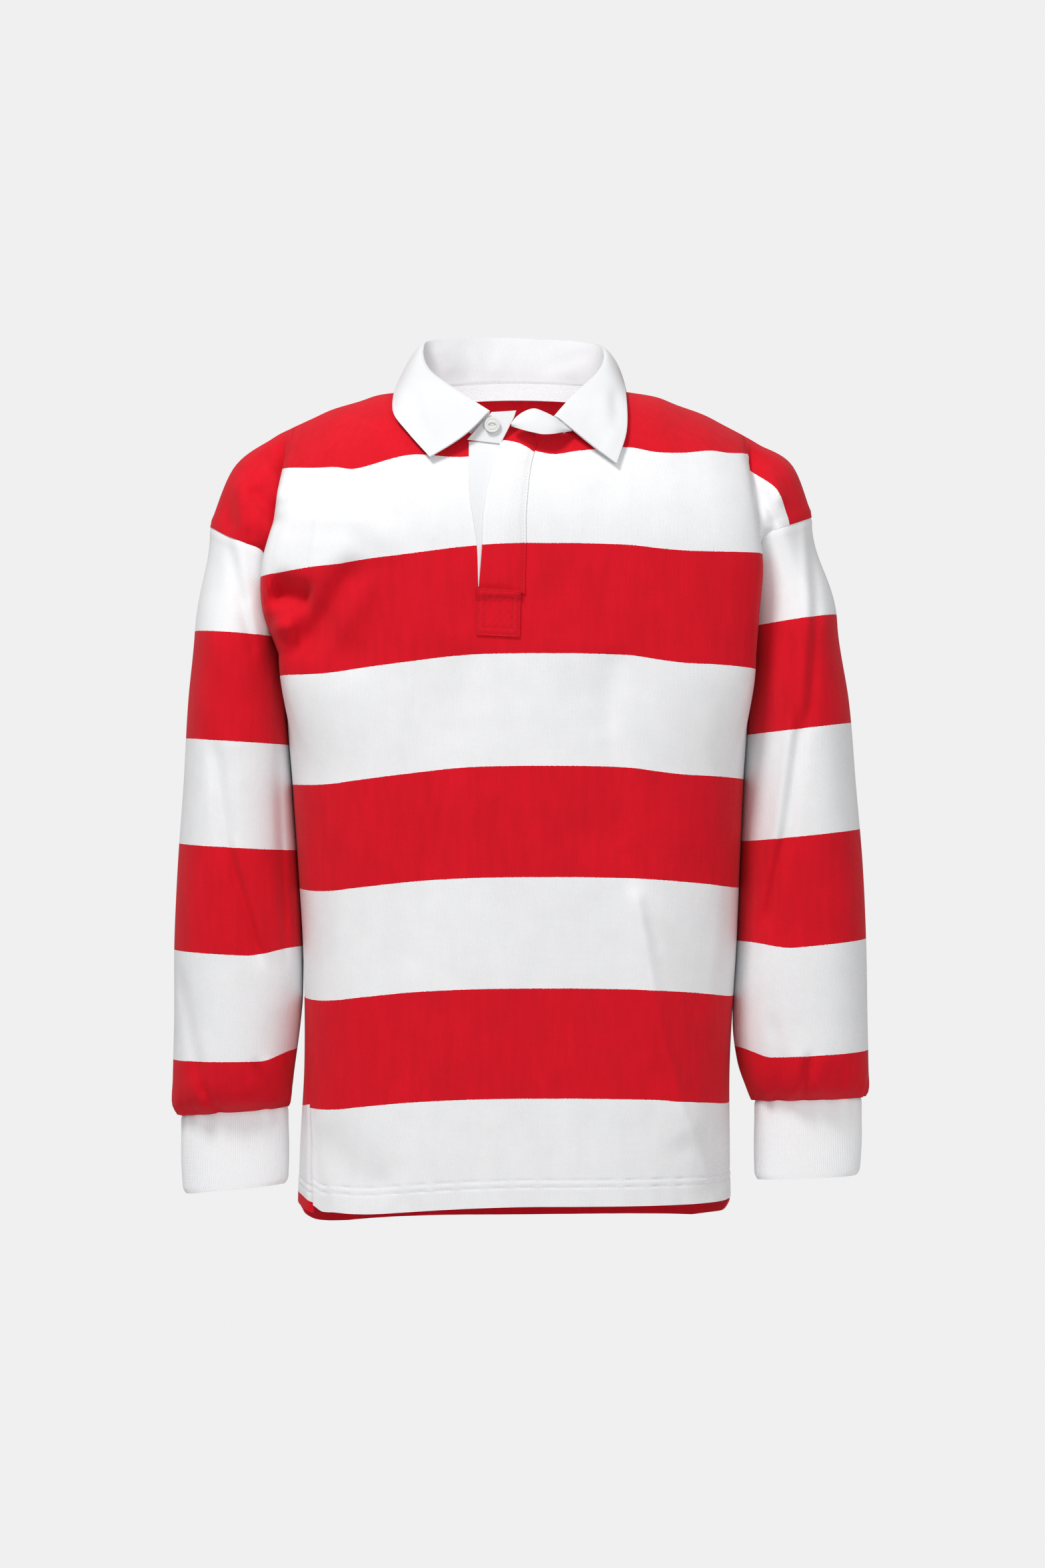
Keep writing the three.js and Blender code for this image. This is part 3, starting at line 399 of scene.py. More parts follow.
SLEEVE_COLUMNS = "z outer inner halfDepth middleY"
SLEEVE = {
    Side.LEFT: Table(SLEEVE_COLUMNS, [
        [-121, 283, 214, 70, 6],
        [-163, 289, 212, 73, 6],
        [-217, 290, 211, 75, 5],
        [-280, 296, 208.2, 73, 4],
        [-353, 300, 203.6, 70, 2],
        [-424, 305, 198.6, 66, 0],
        [-494, 308, 194.4, 62, -3],
        [-540, 308, 194, 59, -5],
        [-565, 308, 196, 57, -6],
        [-614, 309, 202, 52, -9],
        [-635, 309.5, 204, 42, -10],
        [-645, 305, 206, 25, -10],
    ]),
    Side.RIGHT: Table(SLEEVE_COLUMNS, [
        [-112, 274, 214, 70, 6],
        [-163, 285, 212, 73, 6],
        [-217, 287, 211, 75, 5],
        [-280, 297, 207.4, 73, 4],
        [-353, 303, 203.5, 70, 2],
        [-424, 309, 200.4, 66, 0],
        [-494, 312, 197.4, 62, -3],
        [-565, 313, 193.6, 57, -6],
        [-600, 313.5, 197.5, 52, -9],
        [-623, 313.5, 205, 42, -10],
        [-634, 311, 209.5, 25, -10],
    ]),
}
SLEEVE_END = {Side.LEFT: -645.0, Side.RIGHT: -634.0}
SLEEVE_ROUND = 2.2
HEAD_BLEND = 95.0
UNDERARM_CLEARANCE = 2.9
DOUBLED_SHARE = 0.85
SLEEVE_HOOPS = {
    Side.LEFT: ([-216.0, -312.0, -406.0, -501.0, -598.0, -700.0], (6.0, 1.0)),
    Side.RIGHT: ([-201.0, -298.0, -393.0, -491.0, -591.0, -700.0], (11.0, 5.0)),
}
HOOP_CURL = 9.0
SLEEVE_CREASES = {
    (Side.LEFT, Face.FRONT): Table(DRAPE_COLUMNS, [
        [-257, -136, -244, -192, 6, -2.4],
        [-245, -186, -234, -240, 5, -2.6],
        [-249, -140, -236, -196, 5, 1.6],
        [-238, -192, -228, -240, 4, 1.8],
        [-268, -315, -257, -412, 7, -4.6],
        [-257, -405, -228, -508, 6, -4.8],
        [-250, -405, -221, -508, 5, 3.0],
        [-214, -330, -207, -505, 4, -4.5],
        [-302, -520, -281, -616, 7, -3.0],
        [-246, -250, -252, -330, 10, 1.4],
        [-281, -618, -265, -645, 4, -3.2],
        [-291, -612, -277, -642, 6, 1.8],
        [-234, -600, -218, -637, 5, -2.8],
        [-224, -596, -210, -630, 6, 1.9],
        [-252, -622, -247, -645, 5, 1.5],
    ]),
    (Side.RIGHT, Face.FRONT): Table(DRAPE_COLUMNS, [
        [255, -120, 256, -204, 5, 2.6],
        [263, -120, 264, -204, 6, -3.0],
        [256, -196, 249, -300, 5, 2.6],
        [264, -196, 257, -300, 6, -3.0],
        [250, -290, 236, -404, 7, -4.4],
        [243, -290, 228, -404, 5, 3.0],
        [236, -396, 220, -478, 6, -4.2],
        [228, -396, 214, -470, 5, 2.0],
        [268, -142, 279, -196, 4, -1.2],
        [258, -592, 254, -634, 4, -3.4],
        [249, -590, 245, -632, 6, 1.9],
        [268, -594, 264, -632, 6, 1.8],
        [226, -560, 238, -628, 6, -2.2],
        [288, -604, 284, -634, 5, -1.6],
    ]),
    (Side.LEFT, Face.BACK): Table(DRAPE_COLUMNS, [
        [-240, -180, -268, -300, 9, -2.0],
        [-264, -290, -240, -430, 9, -1.9],
        [-292, -420, -270, -560, 8, 1.7],
        [-244, -560, -256, -640, 6, -2.0],
    ]),
    (Side.RIGHT, Face.BACK): Table(DRAPE_COLUMNS, [
        [238, -170, 270, -290, 9, -2.0],
        [270, -300, 244, -440, 9, -1.8],
        [296, -400, 280, -540, 8, 1.6],
        [246, -550, 258, -630, 6, -2.0],
    ]),
}
SLEEVE_SLANT = {Side.LEFT: 4.0, Side.RIGHT: -1.5}
PUCKER_REACH = 24.0
PUCKER_DEPTH = 1.1

CUFF_LENGTH = {Side.LEFT: 69.5, Side.RIGHT: 70.5}
CUFF_SLANT = {Side.LEFT: 4.5, Side.RIGHT: -2.0}
CUFF_MIDDLE = 255.0
CUFF_SPAN = {Side.LEFT: (208.0, 299.5), Side.RIGHT: (214.0, 305.5)}
CUFF_HALF_WIDTH = 45.0
CUFF_SWELL = 0.03

ROLL_LINE = Table("s x y z", [
    [-1, -25, -97, -27],
    [-0.8, -56, -74, -5],
    [-0.64, -80, -34, 17],
    [-0.5, -86, 2, 38],
    [-0.3, -76, 42, 51],
    [0, 0, 64, 55],
    [0.3, 68, 42, 47.5],
    [0.5, 78, 2, 34],
    [0.66, 72, -32, 15],
    [0.84, 50, -68, -9],
    [1, 32, -92, -31],
])
LEAF_EDGE = Table("s x y z", [
    [-1, -77, -104, -67],
    [-0.86, -96, -88, -45],
    [-0.68, -110, -66, -24],
    [-0.5, -109, -8, 4],
    [-0.34, -104, 48, 0],
    [0, 0, 94, -4],
    [0.34, 93, 52, -1.5],
    [0.5, 95, -6, 4.6],
    [0.66, 96, -55, -12.5],
    [0.84, 95, -88, -44],
    [1, 86, -106, -73],
])
ROLL_RADIUS = 3.2
STAND_HOLLOW = 3.0
COLLAR_SEAT = 0.8

PLACKET_OVER = Table("z left right", [
    [-40, -7.5, 14],
    [-54, -14.5, 16],
    [-76, -22, 11],
    [-118, -30, 7],
    [-142, -31, 7],
    [-181, -34, 6],
])
PLACKET_UNDER = Table("z left right", [
    [-54, -43, -6],
    [-100, -42, -14],
    [-142, -36, -18],
    [-181, -34.5, -20],
])
BAND_RIGHT = Table("x ridgeY ridgeZ lipY lipZ", [
    [-5.5, -98, -37.5, -99, -39.2],
    [-1, -97, -32, -102, -41.5],
    [6, -96, -27, -104.5, -44],
    [14, -95, -24.5, -106, -46],
    [22, -95, -27, -106.5, -47.5],
    [32, -95, -32, -104, -46.8],
    [40, -93, -37.5, -98, -44.8],
    [47, -90, -42, -91, -43.2],
])


@dataclass
class Cloth:
    """A piece of cloth as a grid of points, from which a closed thin wall is made.

    Attributes:
        name: Name of the finished object.
        grid: Points in millimetres, rows down the piece and columns across it.
        thickness: Thickness of the wall in millimetres.
        outward: 1 where rows crossed with columns point out of the seen side, or -1.
        wrap: Whether the last column meets the first one.
        offset: How far the wall's middle stands out from the grid.
        hole: Cells that are cut out, or None.
        hoop: Hoop coordinate at each point, or None where the piece has none.
        normals: Directions out of the seen side, worked out from the grid if left out.
        knit: Distances across and along for the weave, where they aren't the cloth's own.
    """

    name: str
    grid: Array
    thickness: float | Array
    outward: int = 1
    wrap: bool = False
    offset: float | Array = 0.0
    hole: Array | None = None
    hoop: Array | None = None
    normals: Array | None = None
    knit: tuple[Array, Array] | None = None

    def __post_init__(self) -> None:
        """Work out the normals that weren't given."""
        if self.normals is None:
            self.normals = self.facing()

    def facing(self) -> Array:
        """Normals of the seen side, from each point's neighbours."""
        grid = self.grid
        if self.wrap:
            padded = np.concatenate([grid[:, -1:], grid, grid[:, :1]], axis=1)
            across = padded[:, 2:] - padded[:, :-2]
        else:
            across = np.gradient(grid, axis=1)
        along = np.gradient(grid, axis=0)
        return unit(np.cross(along, across)) * self.outward

    def lift(self, height: Array) -> None:
        """Move each point out of the seen side by its height."""
        self.grid = self.grid + self.normals * height[..., None]
        self.normals = self.facing()

    def surface(self, above: float = 0.0) -> Array:
        """Points of the seen side, or of a layer above it."""
        out = np.asarray(self.offset) + np.asarray(self.thickness) / 2 + above
        return self.grid + self.normals * out[..., None]

    def widths(self) -> tuple[Array, Array]:
        """Distances across and along the cloth at each point, with one more column on a tube.

        Returns:
            The distance from the first column and from the first row, in millimetres.
        """
        grid = self.grid
        if self.wrap:
            grid = np.concatenate([grid, grid[:, :1]], axis=1)
        across = np.cumsum(np.linalg.norm(np.diff(grid, axis=1), axis=2), axis=1)
        across = np.concatenate([np.zeros((len(grid), 1)), across], axis=1)
        along = np.cumsum(np.linalg.norm(np.diff(grid, axis=0), axis=2), axis=0)
        along = np.concatenate([np.zeros((1, grid.shape[1])), along], axis=0)
        if not self.wrap:
            across = across - across[:, -1:] / 2
        return across, along

    def area(self) -> float:
        """Area of the cloth in square metres."""
        across, along = self.widths()
        width = np.diff(across, axis=1)
        height = np.diff(along, axis=0)
        cells = (width[1:] + width[:-1]) / 2 * (height[:, 1:] + height[:, :-1]) / 2
        if self.hole is not None:
            cells = np.where(self.hole, 0, cells)
        return float(cells.sum()) * MM * MM

    def flat_size(self) -> tuple[float, float]:
        """Width and length of the cut that shows, in metres."""
        across, along = self.widths()
        return float((across[:, -1] - across[:, 0]).max()) * MM, float(along[-1].max()) * MM

    def build(self, material: bpy.types.Material) -> bpy.types.Object:
        """Make the closed wall as an object with its UV map and hoop attribute.

        Args:
            material: Finish of the whole piece.

        Returns:
            The new object, linked to the scene.
        """
        rows, cols = self.grid.shape[:2]
        spans = cols if self.wrap else cols - 1
        layers = [self.surface(), self.surface() - self.normals * np.asarray(self.thickness)[..., None]]
        places = np.concatenate([layer.reshape(-1, 3) for layer in layers])
        kept = np.ones((rows - 1, spans), bool)
        if self.hole is not None:
            kept &= ~self.hole
        r, c = np.nonzero(kept)
        outer = self._cells(r, c)
        inner = outer[:, ::-1].copy()
        inner[:, :, 0] += rows
        rims = self._rims(kept, rows)
        quads = np.concatenate([outer, inner, rims])
        if self.outward < 0:
            quads = quads[:, ::-1]
        indices = quads[:, :, 0] * cols + quads[:, :, 1] % cols
        used, numbers = np.unique(indices, return_inverse=True)
        mesh = bpy.data.meshes.new(self.name)
        mesh.from_pydata((places[used] * MM).tolist(), [], numbers.reshape(-1, 4).tolist())
        across, along = self.knit or self.widths()
        column = np.minimum(quads[:, :, 1], across.shape[1] - 1)
        row = quads[:, :, 0] % rows
        uv = np.stack([across[row, column], -along[row, column]], axis=-1) * MM
        mesh.uv_layers.new(name="cloth").data.foreach_set("uv", uv.reshape(-1).astype(np.float32))
        if self.hoop is not None:
            values = np.concatenate([self.hoop.reshape(-1)] * 2)[used]
            attribute = mesh.attributes.new("hoop", "FLOAT", "POINT")
            attribute.data.foreach_set("value", values.astype(np.float32))
        mesh.materials.append(material)
        mesh.shade_smooth()
        mesh.set_sharp_from_angle(angle=EDGE_ANGLE)
        piece = bpy.data.objects.new(self.name, mesh)
        bpy.context.scene.collection.objects.link(piece)
        return piece

    @staticmethod
    def _cells(r: Array, c: Array) -> Array:
        """Corners of cells as (row, column) pairs, in the order that faces rows crossed with columns."""
        corners = [(r, c), (r + 1, c), (r + 1, c + 1), (r, c + 1)]
        return np.stack([np.stack(corner, axis=-1) for corner in corners], axis=1)

    def _rims(self, kept: Array, rows: int) -> Array:
        """Faces that close the wall round its edges.

        Args:
            kept: Which cells the cloth has.
            rows: Number of rows of points in one layer.

        Returns:
            Corners of the faces as (row, column) pairs, rows of the inner layer counted on.
        """
        padded = np.pad(kept, 1)
        if self.wrap:
            padded[1:-1, 0] = kept[:, -1]
            padded[1:-1, -1] = kept[:, 0]
        middle = padded[1:-1, 1:-1]
        edges = [
            (middle & ~padded[:-2, 1:-1], (0, 1), (0, 0)),
            (middle & ~padded[2:, 1:-1], (1, 0), (1, 1)),
            (middle & ~padded[1:-1, :-2], (0, 0), (1, 0)),
            (middle & ~padded[1:-1, 2:], (1, 1), (0, 1)),
        ]
        faces = []
        for open_side, start, end in edges:
            r, c = np.nonzero(open_side)
            a = np.stack([r + start[0], c + start[1]], axis=-1)
            b = np.stack([r + end[0], c + end[1]], axis=-1)
            below = np.array([rows, 0])
            faces.append(np.stack([a, a + below, b + below, b], axis=1))
        return np.concatenate(faces)


@dataclass
class BodyPanel:
    """The front or the back, from the shoulder seams to the hem.

    A place above the armpits is given by its column and by f, from 0 on the shoulder seam to 1
    at the armpit. Below them the columns follow the torso's rounded section.

    Attributes:
        face: Front or back.
        yoke_rows: Rows above the armpits.
        skirt_rows: Rows from there to the hem.
        hem_rows: Finer rows of the turned-up hem.
        side_columns: Columns between a drape fold and its armhole.
        shoulder_columns: Columns between a fold and the neck.
    """

    face: Face
    yoke_rows: int = 96
    skirt_rows: int = 104
    hem_rows: int = 30
    side_columns: int = 28
    shoulder_columns: int = 38
    neck_steps: tuple[int, int, int] = (16, 12, 20)

    def __post_init__(self) -> None:
        """Lay out the columns from the left armhole to the right one."""
        share = NECK_HALF_WIDTH / SHOULDER_SEAM.columns["out"][-1]
        left, slit, right = self.neck_steps
        shoulder = np.arange(self.shoulder_columns) / self.shoulder_columns
        neck = [
            neck_xs(-NECK_HALF_WIDTH, SLIT_LEFT_X, left),
            np.linspace(SLIT_LEFT_X, SLIT_RIGHT_X, slit + 1)[1:-1],
            neck_xs(SLIT_RIGHT_X, NECK_HALF_WIDTH, right),
        ]
        across = np.concatenate([-mix(1, share, shoulder), np.concatenate(neck) / NECK_HALF_WIDTH * share])
        across = np.concatenate([across, mix(1, share, shoulder[::-1])])
        self.across = across
        self.slit_start = self.side_columns + self.shoulder_columns + left
        self.slit_end = self.slit_start + slit
        self.neck_start = self.side_columns + self.shoulder_columns
        self.neck_end = self.slit_end + right

    def fold_point(self, side: Side, f: Array) -> Array:
        """Outer edge of the drape fold beside an arm."""
        v = f * ARMHOLE_LENGTH
        return FOLD[self.face, side].points(v, "out y z") * np.array([side.value, 1, 1])

    def tuck_point(self, side: Side, f: Array) -> Array:
        """Deepest line of the tuck behind the drape fold."""
        v = f * ARMHOLE_LENGTH
        return FOLD[self.face, side].points(v, "tuckOut tuckY tuckZ") * np.array([side.value, 1, 1])

    def edge_point(self, side: Side, f: Array) -> Array:
        """A place on the armhole seam."""
        name = self.face.name.lower()
        return ARMHOLE[side].points(f * ARMHOLE_LENGTH, f"out {name}Y {name}Z") * np.array([side.value, 1, 1])

    def cap_point(self, side: Side, f: Array) -> Array:
        """Middle of the cap that lies on the upper arm."""
        v = f * ARMHOLE_LENGTH
        turn = np.pi / 2 * np.minimum(v / 120, 1)
        push = unit(np.stack([
            np.full_like(v, side.value * 0.4),
            self.face.value * np.sin(turn),
            np.cos(turn),
        ], axis=-1))
        middle = (self.tuck_point(side, f) + self.edge_point(side, f)) / 2
        return middle + push * CAP_BULGE.at(v, "bulge")[..., None]

    def seam_height(self, side: Side, out: Array) -> Array:
        """Height of the shoulder seam, or of the neck's line inside it."""
        beyond = SHOULDER_SEAM.at(out, "z") - SHOULDER_TILT[side] * (out - NECK_HALF_WIDTH)
        inside = NECK_RISE[self.face] * (1 - (out / NECK_HALF_WIDTH) ** 2)
        return np.where(out >= NECK_HALF_WIDTH, beyond, inside)

    def chest_point(self, a: Array, f: Array) -> Array:
        """A place between the two fold lines.

        Args:
            a: From -1 on the left fold to 1 on the right one.
            f: From 0 on the shoulder seam to 1 at the armpit.

        Returns:
            The points.
        """
        a, f = np.broadcast_arrays(np.asarray(a, float), np.asarray(f, float))
        height, depth, armpit = PROFILE[self.face]
        angle = np.pi / 2 * np.minimum(f / SHOULDER_PART, 1)
        t = np.clip((f - SHOULDER_PART) / (1 - SHOULDER_PART), 0, 1)
        drop = np.where(f < SHOULDER_PART, height * (1 - np.cos(angle)), mix(height, -armpit, t))
        centre_y = self.face.value * depth * np.sin(angle)
        share = 1 - smooth((f - 0.2) / 0.8)
        halves = []
        for side in Side:
            fold = self.fold_point(side, f)
            start = abs(float(self.fold_point(side, np.array(0.0))[0]))
            ridge = self.seam_height(side, np.abs(a) * start) * share
            fold_ridge = self.seam_height(side, np.array(start)) * share
            z = ridge + mix(-drop, fold[..., 2] - fold_ridge, a * a)
            y = mix(fold[..., 1], centre_y, crown(a, CHEST_ROUND))
            halves.append(np.stack([np.abs(fold[..., 0]) * a, y, z], axis=-1))
        return np.where((a < 0)[..., None], halves[0], halves[1])

    def side_point(self, side: Side, q: Array, f: Array) -> Array:
        """A place beyond a fold line.

        Args:
            side: Left or right.
            q: From 0 on the fold to 1 on the armhole seam.
            f: From 0 on the shoulder seam to 1 at the armpit.

        Returns:
            The points.
        """
        before = self.chest_point(np.full_like(f, side.value * FOLD_REACH), f)
        fold = self.fold_point(side, f)
        tuck = self.tuck_point(side, f)
        cap = self.cap_point(side, f)
        edge = self.edge_point(side, f)
        path = [before, fold, tuck, cap, edge, 2 * edge - cap]
        result = np.zeros(fold.shape)
        for span in range(3):
            here = np.minimum(np.floor(q * 3), 2) == span
            t = (q * 3 - span)[..., None]
            p0, p1, p2, p3 = path[span:span + 4]
            cubic = t * t * (3 - 2 * t)
            bend = (p2 - p0) / 2 * t * (1 - t) ** 2 - (p3 - p1) / 2 * t * t * (1 - t)
            result = np.where(here[..., None], p1 + (p2 - p1) * cubic + bend, result)
        return result

    def hem_height(self, x: Array, share: Array) -> Array:
        """Height of the hem under each column."""
        centre, left, right = HEM[self.face]
        on_left = share < 0.5
        from_end = np.minimum(share, 1 - share) * PANEL_WIDTH[self.face]
        rises = [table.at(from_end, "rise") for table in HEM_RISE[self.face]]
        level = mix(centre, np.where(on_left, left, right), (x / PANEL_HALF_WIDTH) ** 2)
        return level + np.where(on_left, *rises)

    def torso_sections(self, levels: Array, steps: int = 400) -> Array:
        """Half sections of the torso, each at even shares of its length.

        Args:
            levels: Heights of the sections.
            steps: How many shares each is cut into.

        Returns:
            The x and y of each share on each level.
        """
        sections = np.zeros((len(levels), steps + 1, 2))
        even = np.linspace(0, 1, steps + 1)
        power = 2 / TORSO_ROUND
        for i, z in enumerate(levels):
            depth = float(TORSO.at(z, self.face.name.lower()))
            ends = []
            for side in Side:
                lift = float(TORSO.at(z, f"{side.name.lower()}SeamY")) * self.face.value / depth
                ends.append(math.copysign(math.asin(min(abs(lift), 1) ** (TORSO_ROUND / 2)), lift))
            angle = np.linspace(ends[0], math.pi - ends[1], 161)
            c = np.cos(angle)
            s = np.sin(angle)
            half = np.where(c > 0, TORSO.at(z, "left"), TORSO.at(z, "right"))
            x = -np.sign(c) * half * np.abs(c) ** power
            y = self.face.value * depth * np.sign(s) * np.abs(s) ** power
            points = np.stack([x, y], axis=-1)
            shares = arc_shares(points)
            for axis in range(2):
                sections[i, :, axis] = np.interp(even, shares, points[:, axis])
        return sections

    def cloth(self, thickness: float) -> Cloth:
        """The finished panel: rows from its top edge to the hem, columns from left to right."""
        yoke = self._yoke()
        skirt = self._skirt(yoke[-1])
        grid = np.concatenate([yoke, skirt])
        hoop = self._hoops(grid)
        x, y, z = np.moveaxis(grid, -1, 0)
        away = smooth((np.abs(y) - 10) / 34)
        folds = folds_height(DRAPES[self.face], x, z) + folds_height(CREASES[self.face], x, z)
        folds = folds + ripple(x, z, CREASE_PHASE[self.face])
        grid[..., 1] += self.face.value * folds * away
        cloth = Cloth(f"{self.face.name.lower()}_cloth", grid, thickness, -self.face.value, hoop=hoop)
        cloth.knit = self._knit(cloth)
        cloth.lift(self._seams(cloth))
        if self.face is Face.FRONT:
            hole = np.zeros((grid.shape[0] - 1, grid.shape[1] - 1), bool)
            hole[:int(SLIT_SHARE * self.yoke_rows), self.slit_start:self.slit_end] = True
            cloth.hole = hole
        return cloth

    def _knit(self, cloth: Cloth) -> tuple[Array, Array]:
        """Places in the knit: wales follow the columns, and courses are counted up from the hem."""
        across, along = cloth.widths()
        steps = np.diff(across, axis=1)
        chest = slice(self.side_columns, -self.side_columns)
        steps[:self.yoke_rows, chest] = steps[self.yoke_rows, chest]
        across = np.concatenate([np.zeros((len(steps), 1)), np.cumsum(steps, axis=1)], axis=1)
        middle = np.argmin(np.abs(cloth.grid[self.yoke_rows, :, 0]))
        return across - across[:, middle:middle + 1], along - along[-1:]

    def _seams(self, cloth: Cloth) -> Array:
        """Heights of the seams' grooves and of the turned-up hem."""
        across, along = cloth.widths()
        edge = np.minimum(across - across[:, :1], across[:, -1:] - across)
        height = SEAM_RIDGE * np.exp(-(((edge - 5) / 2.4) ** 2)) - SEAM_DEPTH * np.exp(-((edge / 2.0) ** 2))
        height -= SEAM_DEPTH * np.exp(-((along / 1.8) ** 2))
        up = along[-1:] - along
        height += HEM_RIDGE * smooth((HEM_TURN + 1 - up) / 2.5)
        uneven = 1 + 0.5 * np.sin(across / 3.7) + 0.4 * np.sin(across / 1.9 + 1)
        for line in HEM_STITCHES:
            height -= HEM_RIDGE * 1.3 * uneven * np.exp(-(((up - line) / 1.1) ** 2))
        height += 0.22 * np.sin(across / 4.3 + 2 * np.sin(across / 17)) * smooth((32 - up) / 12)
        return height

    def _leaned(self, t: Array) -> Array:
        """Places across between the folds, with the slit's edges led under the placket's strips."""
        across = np.broadcast_to(self.across, (len(t), len(self.across)))
        if self.face is Face.BACK:
            return across
        first = self.side_columns
        keys = [c - first for c in (self.neck_start, self.slit_start, self.slit_end, self.neck_end)]
        column = np.arange(len(self.across))
        left = SLIT_LEAN.at(t[:, 0], "left")
        right = SLIT_LEAN.at(t[:, 0], "right")
        shift = np.stack([np.interp(column, keys, [0, a, b, 0]) for a, b in zip(left, right)])
        return across + shift / SHOULDER_SEAM.columns["out"][-1]

    def _yoke(self) -> Array:
        """Points above the armpits."""
        t = np.linspace(0, 1, self.yoke_rows + 1)[:, None]
        blocks = []
        q = np.arange(1, self.side_columns + 1) / self.side_columns
        for side in (Side.LEFT, None, Side.RIGHT):
            if side is None:
                start = np.where(self.across < 0, *(
                    abs(float(self.fold_point(s, np.array(0.0))[0])) for s in Side
                ))
                reach = np.minimum(np.abs(self.across) * start / NECK_HALF_WIDTH, 1)
                top = NECK_DROP[self.face] * np.sqrt(1 - reach ** 2)
                blocks.append(self.chest_point(self._leaned(t), mix(top[None, :], 1, t)))
                continue
            shares = q[::-1] if side is Side.LEFT else q
            f, qs = np.broadcast_arrays(t, shares[None, :])
            blocks.append(self.side_point(side, qs, f))
        return np.concatenate(blocks, axis=1)

    def _skirt(self, armpit: Array) -> Array:
        """Points below the armpits.

        Args:
            armpit: The last row above them.

        Returns:
            The rows below it, down to the hem.
        """
        levels = np.linspace(-232, -762, 133)
        sections = self.torso_sections(levels)
        shares = arc_shares(armpit)
        hem = self.hem_height(armpit[:, 0], shares)
        upper = np.linspace(0, 1 - HEM_SHARE, self.skirt_rows + 1)[1:]
        t = np.concatenate([upper, np.linspace(1 - HEM_SHARE, 1, self.hem_rows + 1)[1:]])[:, None]
        z = mix(armpit[None, :, 2], hem[None, :], t)
        level = np.clip((levels[0] - z) / (levels[0] - levels[-1]) * (len(levels) - 1), 0, len(levels) - 1.001)
        share = np.broadcast_to(shares[None, :] * (sections.shape[1] - 1), z.shape)
        share = np.clip(share, 0, sections.shape[1] - 1.001)
        i = level.astype(int)
        j = share.astype(int)
        u = (level - i)[..., None]
        w = (share - j)[..., None]
        low = mix(sections[i, j], sections[i, j + 1], w)
        high = mix(sections[i + 1, j], sections[i + 1, j + 1], w)
        fade = smooth((armpit[None, :, 2] - z) / FOLD_FADE)[..., None]
        flat = mix(np.broadcast_to(armpit[None, :, :2], low.shape), mix(low, high, u), fade)
        points = np.concatenate([flat, z[..., None]], axis=-1)
        near = np.minimum(np.arange(len(shares)), np.arange(len(shares))[::-1])
        edge = np.maximum(1 - near / VENT_COLUMNS, 0)
        points[..., 1] += self.face.value * VENT_SPREAD * smooth((VENT_TOP - z) / 60) * edge[None, :]
        return points

    def _hoops(self, grid: Array) -> Array:
        """Hoop coordinate at each point of the panel: red below 1, white to 2, and so on."""
        place = grid.copy()
        count = self.side_columns
        f = np.linspace(0, 1, self.yoke_rows + 1)
        for side in Side:
            fold = self.fold_point(side, f)
            q = np.arange(1, count + 1) / count
            near, far = TUCK_LAG[side]
            lag = (near * smooth(q / 0.4) + far * q) * (self.face is Face.FRONT)
            columns = slice(0, count) if side is Side.LEFT else slice(-count, None)
            lag = lag[::-1] if side is Side.LEFT else lag
            place[:len(f), columns, 0] = fold[:, None, 0]
            place[:len(f), columns, 2] = fold[:, None, 2] + lag[None, :] * smooth((200 + fold[:, None, 2]) / 60)
        return hoop_at(place[..., 0], place[..., 2], self.face)

    def at(self, x: Array, z: Array) -> Array:
        """Places on the chest given by x and z."""
        low = np.zeros(np.shape(x))
        high = np.ones(np.shape(x))
        for _ in range(40):
            middle = (low + high) / 2
            above = self._reach(x, middle)[..., 2] > z
            low = np.where(above, middle, low)
            high = np.where(above, high, middle)
        point = self._reach(x, low)
        folds = folds_height(DRAPES[self.face], point[..., 0], point[..., 2])
        folds = folds + folds_height(CREASES[self.face], point[..., 0], point[..., 2])
        folds = folds + ripple(point[..., 0], point[..., 2], CREASE_PHASE[self.face])
        point[..., 1] += self.face.value * folds
        return point

    def _reach(self, x: Array, f: Array) -> Array:
        """The chest's point at share f whose x is as given."""
        outs = [np.abs(self.fold_point(side, f)[..., 0]) for side in Side]
        return self.chest_point(x / np.where(x < 0, outs[0], outs[1]), f)


def neck_xs(start: float, end: float, steps: int) -> Array:
    """Places across the neck that crowd towards its ends."""
    angles = np.linspace(math.acos(start / NECK_HALF_WIDTH), math.acos(end / NECK_HALF_WIDTH), steps + 1)
    return NECK_HALF_WIDTH * np.cos(angles)


def hoop_at(x: Array, z: Array, face: Face = Face.FRONT) -> Array:
    """Hoop coordinate of a place on the body.

    Args:
        x: Places across.
        z: Places up.
        face: Which panel they are on.

    Returns:
        Whole numbers on the hoops' edges, counted down from the shoulders.
    """
    upper = HOOP_LINE.at(x, "droop")
    edges = np.array(HOOP_EDGES)
    if face is Face.FRONT:
        lower = HOOP_LINE.at(x, "low")
    else:
        lower = HOOP_LINE.at(x, "behind") * smooth((z + 705) / 50)
        lower = lower - BACK_EDGE_RISE * smooth((-176 - x) / 22) * smooth((-690 - z) / 20)
        edges[-2] = BACK_LAST_EDGE
    droop = mix(upper, lower, smooth((-300 - z) / 180))
    lift = HOOP_LINE.at(x, "second") - upper
    droop = droop + lift * smooth((z + 225) / 60)
    counted = np.interp(-(z + droop), -edges, np.arange(1, len(edges) + 1))
    first = HOOP_LINE.at(x, "first")
    second = edges[1] - upper - lift
    top = 1 + (first - z) / (first - second)
    return np.where(top < 2, np.maximum(top, 0.2), counted)


